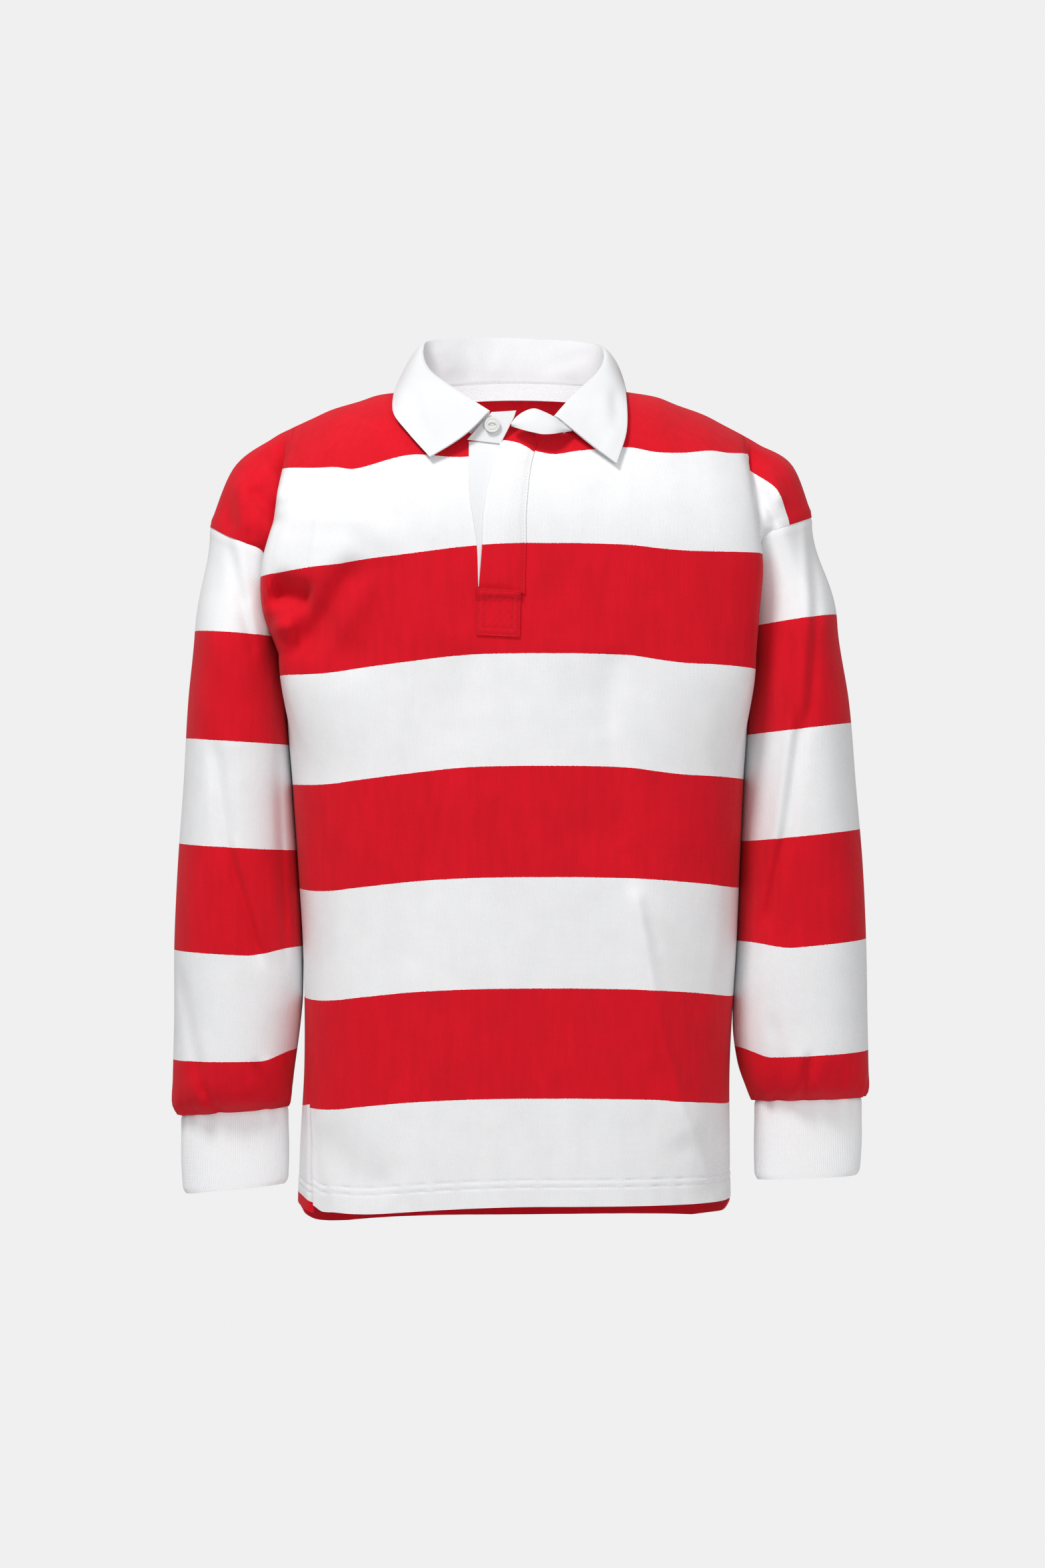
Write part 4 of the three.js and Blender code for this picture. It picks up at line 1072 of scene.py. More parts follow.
@dataclass
class Sleeve:
    """A set-in sleeve: its first ring is the armhole seam, then it settles into a hanging tube.

    Attributes:
        side: Left or right.
        rows: Rows from the seam to the cuff.
    """

    side: Side
    rows: int = 132

    def section(self, z: Array, angle: Array) -> Array:
        """Points of the hanging tube.

        Args:
            z: Heights.
            angle: Turns round the tube from its outer side, by the front.

        Returns:
            The points.
        """
        table = SLEEVE[self.side]
        outer = table.at(z, "outer")
        inner = table.at(z, "inner")
        c = np.cos(angle)
        s = np.sin(angle)
        power = 2 / SLEEVE_ROUND
        x = (outer + inner) / 2 + (outer - inner) / 2 * np.sign(c) * np.abs(c) ** power
        y = table.at(z, "middleY") - table.at(z, "halfDepth") * np.sign(s) * np.abs(s) ** power
        return np.stack([self.side.value * x, y, z], axis=-1)

    def cloth(self, front: Cloth, back: Cloth, yoke_rows: int, thickness: float) -> Cloth:
        """The finished sleeve, hung from the armhole that the two panels make.

        Args:
            front: The front panel.
            back: The back panel.
            yoke_rows: Rows of both panels above the armpits.
            thickness: Thickness of the wall in millimetres.

        Returns:
            The sleeve's cloth.
        """
        column = 0 if self.side is Side.LEFT else -1
        last = yoke_rows + 1
        ring = [np.concatenate([a[:last, column], b[1:last - 1, column][::-1]]) for a, b in (
            (front.grid, back.grid),
            (front.normals, back.normals),
        )]
        count = len(ring[0])
        j = np.arange(count)
        doubled = smooth((DOUBLED_SHARE - np.abs(2 * j / count - 1)) / DOUBLED_SHARE)
        start = ring[0] + ring[1] * (doubled * UNDERARM_CLEARANCE)[:, None]
        angle = 2 * np.pi * j / count
        t = np.linspace(0, 1, self.rows + 1)[:, None]
        z = mix(start[None, :, 2], SLEEVE_END[self.side], t)
        blend = smooth((start[None, :, 2] - z) / HEAD_BLEND)[..., None]
        head = np.concatenate([np.broadcast_to(start[None, :, :2], z.shape + (2,)), z[..., None]], axis=-1)
        grid = mix(head, self.section(z, np.broadcast_to(angle, z.shape)), blend)
        hoop = self._hoops(grid)
        self._crease(grid)
        outward = 1 if self.side is Side.LEFT else -1
        cloth = Cloth(f"sleeve_{self.side.name.lower()}_cloth", grid, thickness, outward, wrap=True, hoop=hoop)
        from_end = (z - SLEEVE_END[self.side]) / PUCKER_REACH
        waves = np.sin(11 * angle + 1.3 + np.sin(2 * angle)) + 0.7 * np.sin(17 * angle + 0.4)
        waves = waves * (0.6 + 0.4 * np.sin(3 * angle + self.side.value))
        from_head = np.linalg.norm(grid - grid[:1], axis=2)
        seam = SEAM_RIDGE * np.exp(-(((from_head - 5) / 2.2) ** 2)) - SEAM_DEPTH * np.exp(-((from_head / 1.6) ** 2))
        pucker = PUCKER_DEPTH * smooth(1 - from_end) * waves[None, :]
        cloth.lift(pucker * smooth(from_end * 6 + 0.25) + seam)
        slant = SLEEVE_SLANT[self.side] * np.cos(angle)[None, :] * smooth(1 - (z - SLEEVE_END[self.side]) / 70)
        cloth.grid[..., 2] -= slant
        return cloth

    def _crease(self, grid: Array) -> None:
        """Press the sleeve's creases into its front and back."""
        x, y, z = np.moveaxis(grid.copy(), -1, 0)
        middle = SLEEVE[self.side].at(z, "middleY")
        settled = smooth((-150 - z) / 60)
        for face in Face:
            facing = smooth((face.value * (y - middle) - 8) / 30)
            height = folds_height(SLEEVE_CREASES[self.side, face], x, z)
            height = height + ripple(x, z, self.side.value * 1.1 + face.value) * settled
            grid[..., 1] += face.value * height * facing

    def _hoops(self, grid: Array) -> Array:
        """Hoop coordinate at each point of the sleeve, white above its first edge."""
        edges, (tilt, last_tilt) = SLEEVE_HOOPS[self.side]
        z = grid[..., 2]
        table = SLEEVE[self.side]
        inner = table.at(z, "inner")
        share = np.clip((np.abs(grid[..., 0]) - inner) / (table.at(z, "outer") - inner), 0, 1)
        reach = mix(0.42, 0.26, smooth((-520 - z) / 60))
        curl = HOOP_CURL * smooth(1 - share / reach) * smooth((-440 - z) / 60)
        level = z + mix(tilt, last_tilt, smooth((-500 - z) / 80)) * (1 - share) - curl
        heights = -np.array([edges[0] + 97, *edges])
        return np.interp(-level, heights, np.arange(1, len(heights) + 1))


@dataclass
class Cuff:
    """A knitted cuff on the end of a sleeve.

    Attributes:
        side: Left or right.
        thickness: Thickness of the doubled rib in millimetres.
        rows: Rows from the sleeve to the wrist.
    """

    side: Side
    thickness: float = 2.5
    rows: int = 34

    def cloth(self, sleeve: Cloth) -> Cloth:
        """The finished cuff, hung from the sleeve's last ring.

        Args:
            sleeve: The sleeve it ends.

        Returns:
            The cuff's cloth.
        """
        t = np.linspace(0, 1, self.rows + 1)[:, None]
        end = np.full(sleeve.grid.shape[1], SLEEVE_END[self.side])
        angle = 2 * np.pi * np.arange(len(end)) / len(end)
        ring = Sleeve(self.side).section(end, angle)
        inner, outer = CUFF_SPAN[self.side]
        reach = np.abs(ring[:, 0])
        out = mix(inner, outer, (reach - reach.min()) / (reach.max() - reach.min())) - CUFF_MIDDLE
        swell = 1 + CUFF_SWELL * np.sin(np.pi * t) - 0.05 * np.maximum((t - 0.92) / 0.08, 0) ** 2
        x = self.side.value * (CUFF_MIDDLE + out[None, :] * swell)
        length = CUFF_LENGTH[self.side] + CUFF_SLANT[self.side] * out / CUFF_HALF_WIDTH
        top = ring[:, 2] - SLEEVE_SLANT[self.side] * np.cos(angle)
        z = mix(top[None, :], (ring[:, 2] - length)[None, :], t)
        waves = np.sin(9 * angle + 0.8) + 0.8 * np.sin(14 * angle + 2.0) + 0.5 * np.sin(4 * angle + 1.0)
        gather = 0.7 * (1 - smooth(t / 0.35)) * waves[None, :] + 0.35 * np.sin(3 * angle + 4 * t)
        gather = gather - 1.3 * (1 - smooth(t / 0.05))
        y = np.broadcast_to(ring[None, :, 1], x.shape) * 1.0
        outward = 1 if self.side is Side.LEFT else -1
        points = np.stack([x, y, z], axis=-1)
        cloth = Cloth(f"cuff_{self.side.name.lower()}_rib", points, self.thickness, outward, wrap=True)
        cloth.lift(gather)
        return cloth


@dataclass
class Collar:
    """The turned-down collar: a stand inside, the roll line, and the leaf that falls outside.

    Attributes:
        thickness: Thickness of the two plies in millimetres.
        stand_rows: Rows from the neckline to the roll line.
        leaf_rows: Rows from there to the free edge.
    """

    thickness: float = 1.8
    stand_rows: int = 18
    leaf_rows: int = 60

    def cloth(self, front: BodyPanel, front_cloth: Cloth, back_cloth: Cloth) -> Cloth:
        """The finished collar, grown from the neckline of both panels.

        Args:
            front: Layout of the front panel.
            front_cloth: The front panel.
            back_cloth: The back panel, with the same columns.

        Returns:
            The collar's cloth.
        """
        first = front.slit_end + front.neck_steps[2] // COLLAR_START_STEPS
        neckline = np.concatenate([
            front_cloth.grid[0, front.neck_start:front.slit_start + 1][::-1],
            back_cloth.grid[0, front.neck_start + 1:front.neck_end],
            front_cloth.grid[0, first:front.neck_end + 1][::-1],
        ])
        s = 2 * arc_shares(neckline) - 1
        roll = ROLL_LINE.points(s)
        edge = LEAF_EDGE.points(s)
        away = unit((edge - roll) * np.array([1, 1, 0]))
        t = np.linspace(0, 1, self.stand_rows + 1)[:, None]
        wave = 0.7 * np.sin(17 * s + 0.5) + 0.5 * np.sin(29 * s + 1.7)
        hollow = (STAND_HOLLOW + wave[None, :]) * np.sin(np.pi * t)
        stand = mix(neckline[None], roll[None], t[..., None]) - away[None] * hollow[..., None]
        stand[..., 2] += COLLAR_SEAT * (1 - t)
        t = np.arange(1, self.leaf_rows + 1)[:, None] / self.leaf_rows
        bulge = ROLL_RADIUS * 2 * np.sqrt(t) * (1 - t) + wave[None, :] * np.sin(np.pi * t) * 0.9
        leaf = mix(roll[None], edge[None], t[..., None]) + away[None] * bulge[..., None]
        leaf[..., 2] += bulge * 0.8
        for bow in LEAF_BOWS:
            near = smooth((bow.sign * s - 0.8) / 0.2)[None, :] * np.sin(np.pi * t ** 0.8)
            leaf += (near * bow.depth)[..., None] * np.array(bow.towards)
        cloth = Cloth("collar_cloth", np.concatenate([stand, leaf]), self.thickness, -1)
        across, along = cloth.widths()
        from_edge = np.minimum(along[-1:] - along, np.minimum(across - across[:, :1], across[:, -1:] - across))
        on_leaf = (np.arange(len(along)) > self.stand_rows)[:, None]
        height = -0.1 * np.exp(-(((from_edge - COLLAR_STITCH) / 1.3) ** 2)) - 0.3 * np.exp(-((from_edge / 1.0) ** 2))
        height = height + folds_height(LEAF_CREASES, cloth.grid[..., 0], cloth.grid[..., 2])
        within = folds_height(STAND_CREASES, cloth.grid[..., 0], cloth.grid[..., 2])
        cloth.lift(np.where(on_leaf, height, within * (cloth.grid[..., 1] > 0)))
        return cloth


@dataclass(frozen=True)
class Bow:
    """How far a front end of the collar's leaf bows out between its roll and its tip.

    Attributes:
        sign: Which end, by the sign of its place along the collar.
        depth: How far it bows, in millimetres.
        towards: Direction of the bow.
    """

    sign: int
    depth: float
    towards: tuple[float, float, float]


LEAF_BOWS = (Bow(-1, 6.0, (0.6, -0.1, -0.79)), Bow(1, 1.5, (-0.58, -0.1, -0.81)))
COLLAR_STITCH = 4.0
LEAF_CREASES = Table(DRAPE_COLUMNS, [
    [-96, 0, -84, -44, 7, -1.4],
    [-80, 4, -70, -50, 8, 1.2],
    [88, 0, 82, -46, 7, -1.4],
    [76, -4, 84, -56, 6, 1.2],
    [60, -30, 76, -58, 5, -0.9],
])
STAND_CREASES = Table(DRAPE_COLUMNS, [
    [-74, 44, -62, 22, 5, 1.6],
    [-50, 52, -44, 14, 7, -1.6],
    [-8, 54, -22, 20, 8, 1.3],
    [16, 52, 30, 22, 6, -1.7],
    [34, 30, 66, 40, 6, -1.4],
    [52, 50, 44, 18, 7, 1.2],
])


@dataclass
class FrontOpening:
    """The placket's strips, the locker patch and both ends of the collar band.

    Attributes:
        panel: The front panel that carries them.
        jersey: Thickness of the jersey in millimetres.
        strip: Thickness of the thin strips.
        band: Thickness of the band's ends.
        gap: Air between layers.
    """

    panel: BodyPanel
    jersey: float = 1.5
    strip: float = 1.2
    band: float = 2.0
    gap: float = 0.35

    def laid(self, table: Table, bottom: float, rows: int, cols: int) -> Array:
        """Points of a strip laid down the chest.

        Args:
            table: Its left and right edges against height.
            bottom: Height of its lower end.
            rows: Steps down it.
            cols: Steps across it.

        Returns:
            The grid of points.
        """
        z = np.linspace(table.columns["z"][-1], bottom, rows + 1)[:, None]
        share = np.linspace(0, 1, cols + 1)[None, :]
        x = mix(table.at(z, "left"), table.at(z, "right"), share)
        return self.panel.at(x, np.broadcast_to(z, x.shape))

    def cloths(self) -> dict[str, Cloth]:
        """All the small cloths of the opening, by the name of the node each stands for."""
        over_front = self.jersey / 2 + self.gap
        over_strip = over_front + self.strip + self.gap
        under_grid = self.laid(PLACKET_UNDER, -181.0, 64, 16)
        under = Cloth("placket_underlap", under_grid, self.strip, offset=over_front + self.strip / 2)
        return {
            "placket_under": under,
            "placket_over": self._strip(over_front, over_strip),
            "locker_patch": self._patch(over_front),
            "band_left": self._band_left(over_strip),
            "band_right": self._band_right(),
        }

    def _strip(self, over_front: float, over_strip: float) -> Cloth:
        """The folded strip that lies on top, flat on the panel along its sewn right side."""
        grid = self.laid(PLACKET_OVER, STRIP_FOOT, 84, 24)
        share = np.linspace(0, 1, grid.shape[1])[None, :]
        tucked = np.maximum(smooth((share - 0.5) / 0.5), smooth((-177 - grid[..., 2]) / 9))
        thickness = mix(self.jersey, 0.6, smooth((share - 0.8) / 0.2)) * np.ones(grid.shape[:2])
        low = self.jersey / 2 + 0.1 + thickness / 2
        low = mix(low, over_front + self.jersey / 2, smooth((-177 - grid[..., 2]) / 9))
        ridge = 0.35 * smooth(share / 0.05) - 0.3 * np.exp(-(((share - 0.93) / 0.03) ** 2))
        offset = mix(over_strip + self.jersey / 2, low, tucked) + ridge
        cloth = Cloth("placket_strip", grid, thickness, offset=offset)
        shift = mix(-7, 2, share) * smooth((grid[..., 2] + 100) / 40)
        cloth.hoop = hoop_at(grid[..., 0], grid[..., 2] + shift)
        return cloth

    def _patch(self, over_front: float) -> Cloth:
        """The square of jersey sewn over the foot of the placket."""
        down, across = np.meshgrid(np.linspace(0, 1, 41), np.linspace(0, 1, 41), indexing="ij")
        left, right, top, bottom, tilt = PATCH
        x = mix(left, right, across) + tilt * down / 2
        z = mix(top, bottom, down) + tilt * across
        step = 2.7 * (1 - smooth((-186 - z) / 9))
        rim = np.minimum(np.minimum(down, 1 - down), np.minimum(across, 1 - across)) * 41
        sewn = 0.3 * np.exp(-(((rim - 2) / 0.9) ** 2)) + 0.35 * np.exp(-(((rim - 7.5) / 0.9) ** 2))
        puff = 0.3 * smooth(rim / 4) + 0.12 * np.sin(across * 37) * np.sin(down * 31 + 1) - sewn
        cloth = Cloth("locker_patch_cloth", self.panel.at(x, z), self.strip)
        cloth.offset = over_front + self.strip / 2 + step + puff
        cloth.hoop = hoop_at(x, z)
        return cloth

    def _band_left(self, over_strip: float) -> Cloth:
        """The button end of the band, standing up from the top of the placket."""
        start, start_top, end, bottom, drop, rise, slant = BAND_LEFT
        up, across = np.meshgrid(np.linspace(1, 0, 17), np.linspace(0, 1, 25), indexing="ij")
        x = mix(mix(start, start_top, up), end - slant * (1 - up), across)
        foot = self.panel.at(x, bottom - drop * across)
        x = x - 1.0 * smooth((up - 0.75) / 0.25) * across ** 6
        height = (rise + BAND_TILT * across) * up
        grid = np.stack([x, foot[..., 1] + BAND_LEAN * up, foot[..., 2] + height], axis=-1)
        return Cloth("band_button_end", grid, self.band, offset=over_strip + self.band / 2)

    def _band_right(self) -> Cloth:
        """The buttonhole end of the band, flopped over so that its inner side shows."""
        keys = BAND_RIGHT.columns
        x = np.linspace(keys["x"][0], keys["x"][-1], 45)
        t = np.linspace(0, 1, 17)[:, None, None]
        sides = [[BAND_RIGHT.at(x, side + axis) for axis in "YZ"] for side in ("ridge", "lip")]
        ridge, lip = (np.stack([x, *side], axis=-1) for side in sides)
        grid = mix(ridge[None], lip[None], t)
        grid[..., 1] -= BAND_CURL * np.sin(np.pi * t[..., 0])
        near_end = smooth((47 - x) / 16)[None, :]
        return Cloth("band_buttonhole_end", grid, mix(0.8, 1.5, near_end) * np.ones(grid.shape[:2]))


STRIP_FOOT = -187.0
PATCH = (-35.5, 2.5, -182.0, -223.0, -2.0)
BAND_LEFT = (-44.0, -22.5, 0.0, -51.6, 3.6, 24.0, 15.0)
BAND_TILT = 5.0
BAND_LEAN = 1.5
BAND_CURL = 2.4


def tape_cloth(panel: BodyPanel, back: Cloth) -> Cloth:
    """The herringbone tape over the seam between the back neck and the collar's stand.

    Args:
        panel: Layout of the back panel.
        back: The back panel's cloth.

    Returns:
        The tape's cloth.
    """
    row = back.grid[0]
    seam = np.array([row[c] for c in range(panel.neck_start, panel.neck_end + 1) if abs(row[c, 0]) <= TAPE_REACH])
    along = np.gradient(seam, axis=0)
    inward = unit(np.stack([along[:, 1], -along[:, 0], np.zeros(len(seam))], axis=-1))
    rise = np.linspace(TAPE_TOP, TAPE_FOOT, 13)[:, None, None]
    inset = TAPE_INSET - TAPE_FLARE * rise
    grid = seam[None] + inward[None] * inset + np.array([0, 0, 1]) * rise
    return Cloth("neck_tape_cloth", grid, TAPE_THICKNESS, 1)


TAPE_REACH = 84.0
TAPE_THICKNESS = 1.2
TAPE_TOP = 6.5
TAPE_FOOT = -9.0
TAPE_INSET = 4.4
TAPE_FLARE = 0.13


class Signal:
    """A shader socket that adds Math nodes when it is worked with."""

    def __init__(self, graph: "Graph", socket: bpy.types.NodeSocket) -> None:
        """Wrap an output socket of a graph."""
        self.graph = graph
        self.socket = socket

    def math(self, operation: str, *others: "Signal | float") -> "Signal":
        """Apply a Math operation to this value and up to two others."""
        values = {str(i): value for i, value in enumerate((self, *others))}
        return self.graph.node("ShaderNodeMath", {"operation": operation}, values)["Value"]

    def __add__(self, other: "Signal | float") -> "Signal":
        """Sum."""
        return self.math("ADD", other)

    __radd__ = __add__

    def __sub__(self, other: "Signal | float") -> "Signal":
        """Difference."""
        return self.math("SUBTRACT", other)

    def __rsub__(self, other: float) -> "Signal":
        """Difference from a number."""
        return (self * -1).math("ADD", other)

    def __mul__(self, other: "Signal | float") -> "Signal":
        """Product."""
        return self.math("MULTIPLY", other)

    __rmul__ = __mul__

    def __truediv__(self, other: float) -> "Signal":
        """Quotient."""
        return self.math("DIVIDE", other)

    def __lt__(self, other: "Signal | float") -> "Signal":
        """1 where this value is the smaller one."""
        return self.math("LESS_THAN", other)


class Outputs:
    """The output sockets of one node, by name, as signals."""

    def __init__(self, graph: "Graph", node: bpy.types.Node) -> None:
        """Wrap a node of a graph."""
        self.graph = graph
        self.made = node

    def __getitem__(self, name: str) -> Signal:
        """The shown output of that name."""
        found = [s for s in self.made.outputs if s.name == name and s.enabled]
        return Signal(self.graph, found[0])


class Graph:
    """Builds one material's node tree."""

    def __init__(self, name: str) -> None:
        """Start a material with a Principled shader on its output."""
        self.material = bpy.data.materials.new(name)
        self.material.use_nodes = True
        self.tree = self.material.node_tree
        self.tree.nodes.clear()
        self.shader = self.tree.nodes.new("ShaderNodeBsdfPrincipled")
        output = self.tree.nodes.new("ShaderNodeOutputMaterial")
        self.tree.links.new(self.shader.outputs[0], output.inputs["Surface"])

    def node(self, kind: str, settings: dict | None = None, inputs: dict | None = None) -> Outputs:
        """Add a node.

        Args:
            kind: The node's type.
            settings: Properties that are set before its sockets.
            inputs: Values or signals, by the socket's name or number.

        Returns:
            The node's outputs.
        """
        made = self.tree.nodes.new(kind)
        for name, value in (settings or {}).items():
            setattr(made, name, value)
        for name, value in (inputs or {}).items():
            sockets = [s for s in made.inputs if s.enabled]
            socket = sockets[int(name)] if name.isdigit() else next(s for s in sockets if s.name == name)
            self.feed(socket, value)
        return Outputs(self, made)

    def feed(self, socket: bpy.types.NodeSocket, value: "Signal | float | tuple") -> None:
        """Link a signal to a socket, or set a plain value on it."""
        if isinstance(value, Signal):
            self.tree.links.new(value.socket, socket)
        else:
            socket.default_value = value

    def blend(self, share: "Signal | float", a: "Signal | tuple", b: "Signal | tuple", way: str = "MIX") -> Signal:
        """Mix two colours."""
        return self.node(
            "ShaderNodeMix",
            {"data_type": "RGBA", "blend_type": way},
            {"Factor": share, "A": a, "B": b},
        )["Result"]

    def cloth_uv(self) -> tuple[Signal, Signal]:
        """Distances across and down the cloth, in metres."""
        uv = self.node("ShaderNodeUVMap", {"uv_map": "cloth"})["UV"]
        parted = self.node("ShaderNodeSeparateXYZ", inputs={"Vector": uv})
        return parted["X"], parted["Y"]

    def stretched(self, across: float, down: float) -> Signal:
        """The piece's own coordinates, scaled across and down it."""
        place = self.node("ShaderNodeTexCoord")["Object"]
        scaled = {"operation": "MULTIPLY"}
        return self.node("ShaderNodeVectorMath", scaled, {"0": place, "1": (across, across, down)})["Vector"]

    def noise(self, scale: float, detail: float = 2.0, vector: Signal | None = None) -> Signal:
        """Noise about 0.5, on the piece's own coordinates in metres."""
        place = vector or self.node("ShaderNodeTexCoord")["Object"]
        return self.node("ShaderNodeTexNoise", inputs={"Vector": place, "Scale": scale, "Detail": detail})["Fac"]

    def dress(self, colour: "Signal | tuple", roughness: "Signal | float", height: Signal, depth: float) -> None:
        """Feed the shader.

        Args:
            colour: Base colour.
            roughness: Roughness.
            height: Relief from 0 to 1.
            depth: What a relief of 1 stands for, in metres.
        """
        self.feed(self.shader.inputs["Base Color"], colour)
        self.feed(self.shader.inputs["Roughness"], roughness)
        bump = self.node("ShaderNodeBump", inputs={"Strength": 1.0, "Distance": depth, "Height": height})
        self.feed(self.shader.inputs["Normal"], bump["Normal"])

    def sheen(self, weight: float, roughness: float) -> None:
        """Give the cloth its soft nap, the same all over."""
        self.shader.inputs["Sheen Weight"].default_value = weight
        self.shader.inputs["Sheen Roughness"].default_value = roughness
        self.shader.inputs["Specular IOR Level"].default_value = 0.15


def grey(value: float) -> tuple[float, float, float, float]:
    """An opaque grey."""
    return (value, value, value, 1.0)


def stripes(place: Signal, pitch: float) -> Signal:
    """A wave from 0 to 1 that repeats every pitch metres."""
    return (place * (2 * math.pi / pitch)).math("SINE") * 0.5 + 0.5


@dataclass(frozen=True)
class JerseyFinish:
    """Heavy cotton jersey knitted in red and white hoops.

    Attributes:
        red: Linear colour of the red yarn.
        white: Linear colour of the white yarn.
        wale: Distance between the knit's columns in metres.
        course: Distance between its rows.
        relief: Depth of the knit's surface.
        nap: Strength of the sheen.
        red_spread: How dark the red yarn's darkest patches are beside its brightest.
    """

    red: Colour = (0.72, 0.0045, 0.017)
    white: Colour = (0.87, 0.872, 0.885)
    wale: float = 0.0012
    course: float = 0.0010
    relief: float = 0.00016
    nap: float = 0.04
    red_spread: float = 0.84

    def material(self, name: str, hooped: bool = True) -> bpy.types.Material:
        """Make the finish.

        Args:
            name: Name of the material.
            hooped: Whether the piece carries the hoop attribute; without it the cloth is white.

        Returns:
            The material.
        """
        graph = Graph(name)
        u, v = graph.cloth_uv()
        wave = graph.noise(90)
        bent = u + (wave - 0.5) * 0.0012
        across = (bent / self.wale).math("FRACT") - 0.5
        split = across.math("ABSOLUTE") * 2
        leg = stripes(v + split * (self.course * 0.5), self.course)
        rib = 1 - split * split
        height = rib * 0.6 + leg * 0.4
        streak = graph.noise(160, 3, graph.stretched(1.0, 0.16))
        mottle = graph.noise(38, 3) * 0.10 + graph.noise(900, 1) * 0.08 + streak * 0.04
        shade = rib * 0.07 + leg * 0.05 + mottle + 0.78
        colour: Signal | tuple = (*self.white, 1.0)
        if hooped:
            hoop = graph.node("ShaderNodeAttribute", {"attribute_name": "hoop"})["Fac"]
            ragged = hoop + (graph.noise(1400, 0) - 0.5) * 0.008 - 1
            is_white = ragged.math("FLOORED_MODULO", 2.0) < 1.0
            patchy = (streak * 0.5 + graph.noise(24, 4) * 0.5 - 0.5) * 2.4 + 0.5
            dark = (*(c * self.red_spread for c in self.red), 1.0)
            red = graph.blend(patchy, dark, (*self.red, 1.0))
            colour = graph.blend(is_white, red, (*self.white, 1.0))
        tone = graph.node("ShaderNodeCombineColor", inputs={"Red": shade, "Green": shade, "Blue": shade})["Color"]
        graph.dress(graph.blend(1.0, colour, tone, "MULTIPLY"), 0.86, height, self.relief)
        graph.sheen(self.nap, 0.5)
        return graph.material


@dataclass(frozen=True)
class TwillFinish:
    """White cotton twill with fine slanting lines.

    Attributes:
        colour: Linear colour.
        pitch: Distance between the lines in metres.
        relief: Depth of the lines.
    """

    colour: Colour = (0.80, 0.805, 0.82)
    pitch: float = 0.0013
    relief: float = 0.00012

    def material(self, name: str) -> bpy.types.Material:
        """Make the finish under that name."""
        graph = Graph(name)
        u, v = graph.cloth_uv()
        line = stripes(u * 0.8 + v * 0.6 + graph.noise(60) * 0.0006, self.pitch)
        grain = graph.noise(1100, 1)
        height = line * 0.7 + grain * 0.3
        shade = line * 0.05 + grain * 0.06 + graph.noise(30, 2) * 0.05 + 0.85
        tone = graph.node("ShaderNodeCombineColor", inputs={"Red": shade, "Green": shade, "Blue": shade})["Color"]
        graph.dress(graph.blend(1.0, (*self.colour, 1.0), tone, "MULTIPLY"), 0.8, height, self.relief)
        graph.sheen(0.08, 0.4)
        return graph.material


@dataclass(frozen=True)
class RibFinish:
    """Fine white rib knit.

    Attributes:
        colour: Linear colour.
        pitch: Distance between ribs in metres.
        course: Distance between the knit's rows.
        relief: Depth of the ribs.
    """

    colour: Colour = (0.96, 0.965, 0.98)
    pitch: float = 0.0017
    course: float = 0.0011
    relief: float = 0.00030

    def material(self, name: str) -> bpy.types.Material:
        """Make the finish under that name."""
        graph = Graph(name)
        u, v = graph.cloth_uv()
        rib = stripes(u + (graph.noise(80) - 0.5) * 0.0008, self.pitch)
        row = stripes(v, self.course)
        height = rib * 0.75 + row * 0.25
        shade = rib * 0.06 + row * 0.03 + graph.noise(900, 1) * 0.06 + graph.noise(40, 2) * 0.05 + 0.86
        tone = graph.node("ShaderNodeCombineColor", inputs={"Red": shade, "Green": shade, "Blue": shade})["Color"]
        graph.dress(graph.blend(1.0, (*self.colour, 1.0), tone, "MULTIPLY"), 0.85, height, self.relief)
        graph.sheen(0.12, 0.5)
        return graph.material


@dataclass(frozen=True)
class HerringboneFinish:
    """White cotton tape woven in a herringbone.

    Attributes:
        colour: Linear colour.
        chevron: Width of one zigzag in metres.
        pitch: Distance between its lines.
        relief: Depth of the weave.
    """

    colour: Colour = (0.85, 0.855, 0.87)
    chevron: float = 0.0074
    pitch: float = 0.0024
    relief: float = 0.00018

    def material(self, name: str) -> bpy.types.Material:
        """Make the finish under that name."""
        graph = Graph(name)
        u, v = graph.cloth_uv()
        zigzag = ((v / self.chevron).math("FRACT") - 0.5).math("ABSOLUTE") * self.chevron * 2
        line = stripes(u + zigzag, self.pitch)
        shade = line * 0.20 + graph.noise(900, 1) * 0.06 + 0.80
        tone = graph.node("ShaderNodeCombineColor", inputs={"Red": shade, "Green": shade, "Blue": shade})["Color"]
        graph.dress(graph.blend(1.0, (*self.colour, 1.0), tone, "MULTIPLY"), 0.8, line, self.relief)
        return graph.material


@dataclass(frozen=True)
class PlasticFinish:
    """Satin white moulded plastic with a faint swirl."""

    colour: Colour = (0.74, 0.74, 0.72)

    def material(self, name: str) -> bpy.types.Material:
        """Make the finish under that name."""
        graph = Graph(name)
        swirl = graph.noise(160, 3)
        colour = graph.blend(swirl, (*self.colour, 1.0), (*(c * 0.88 for c in self.colour), 1.0))
        graph.dress(colour, swirl * 0.12 + 0.28, graph.noise(600, 1), 0.00002)
        return graph.material


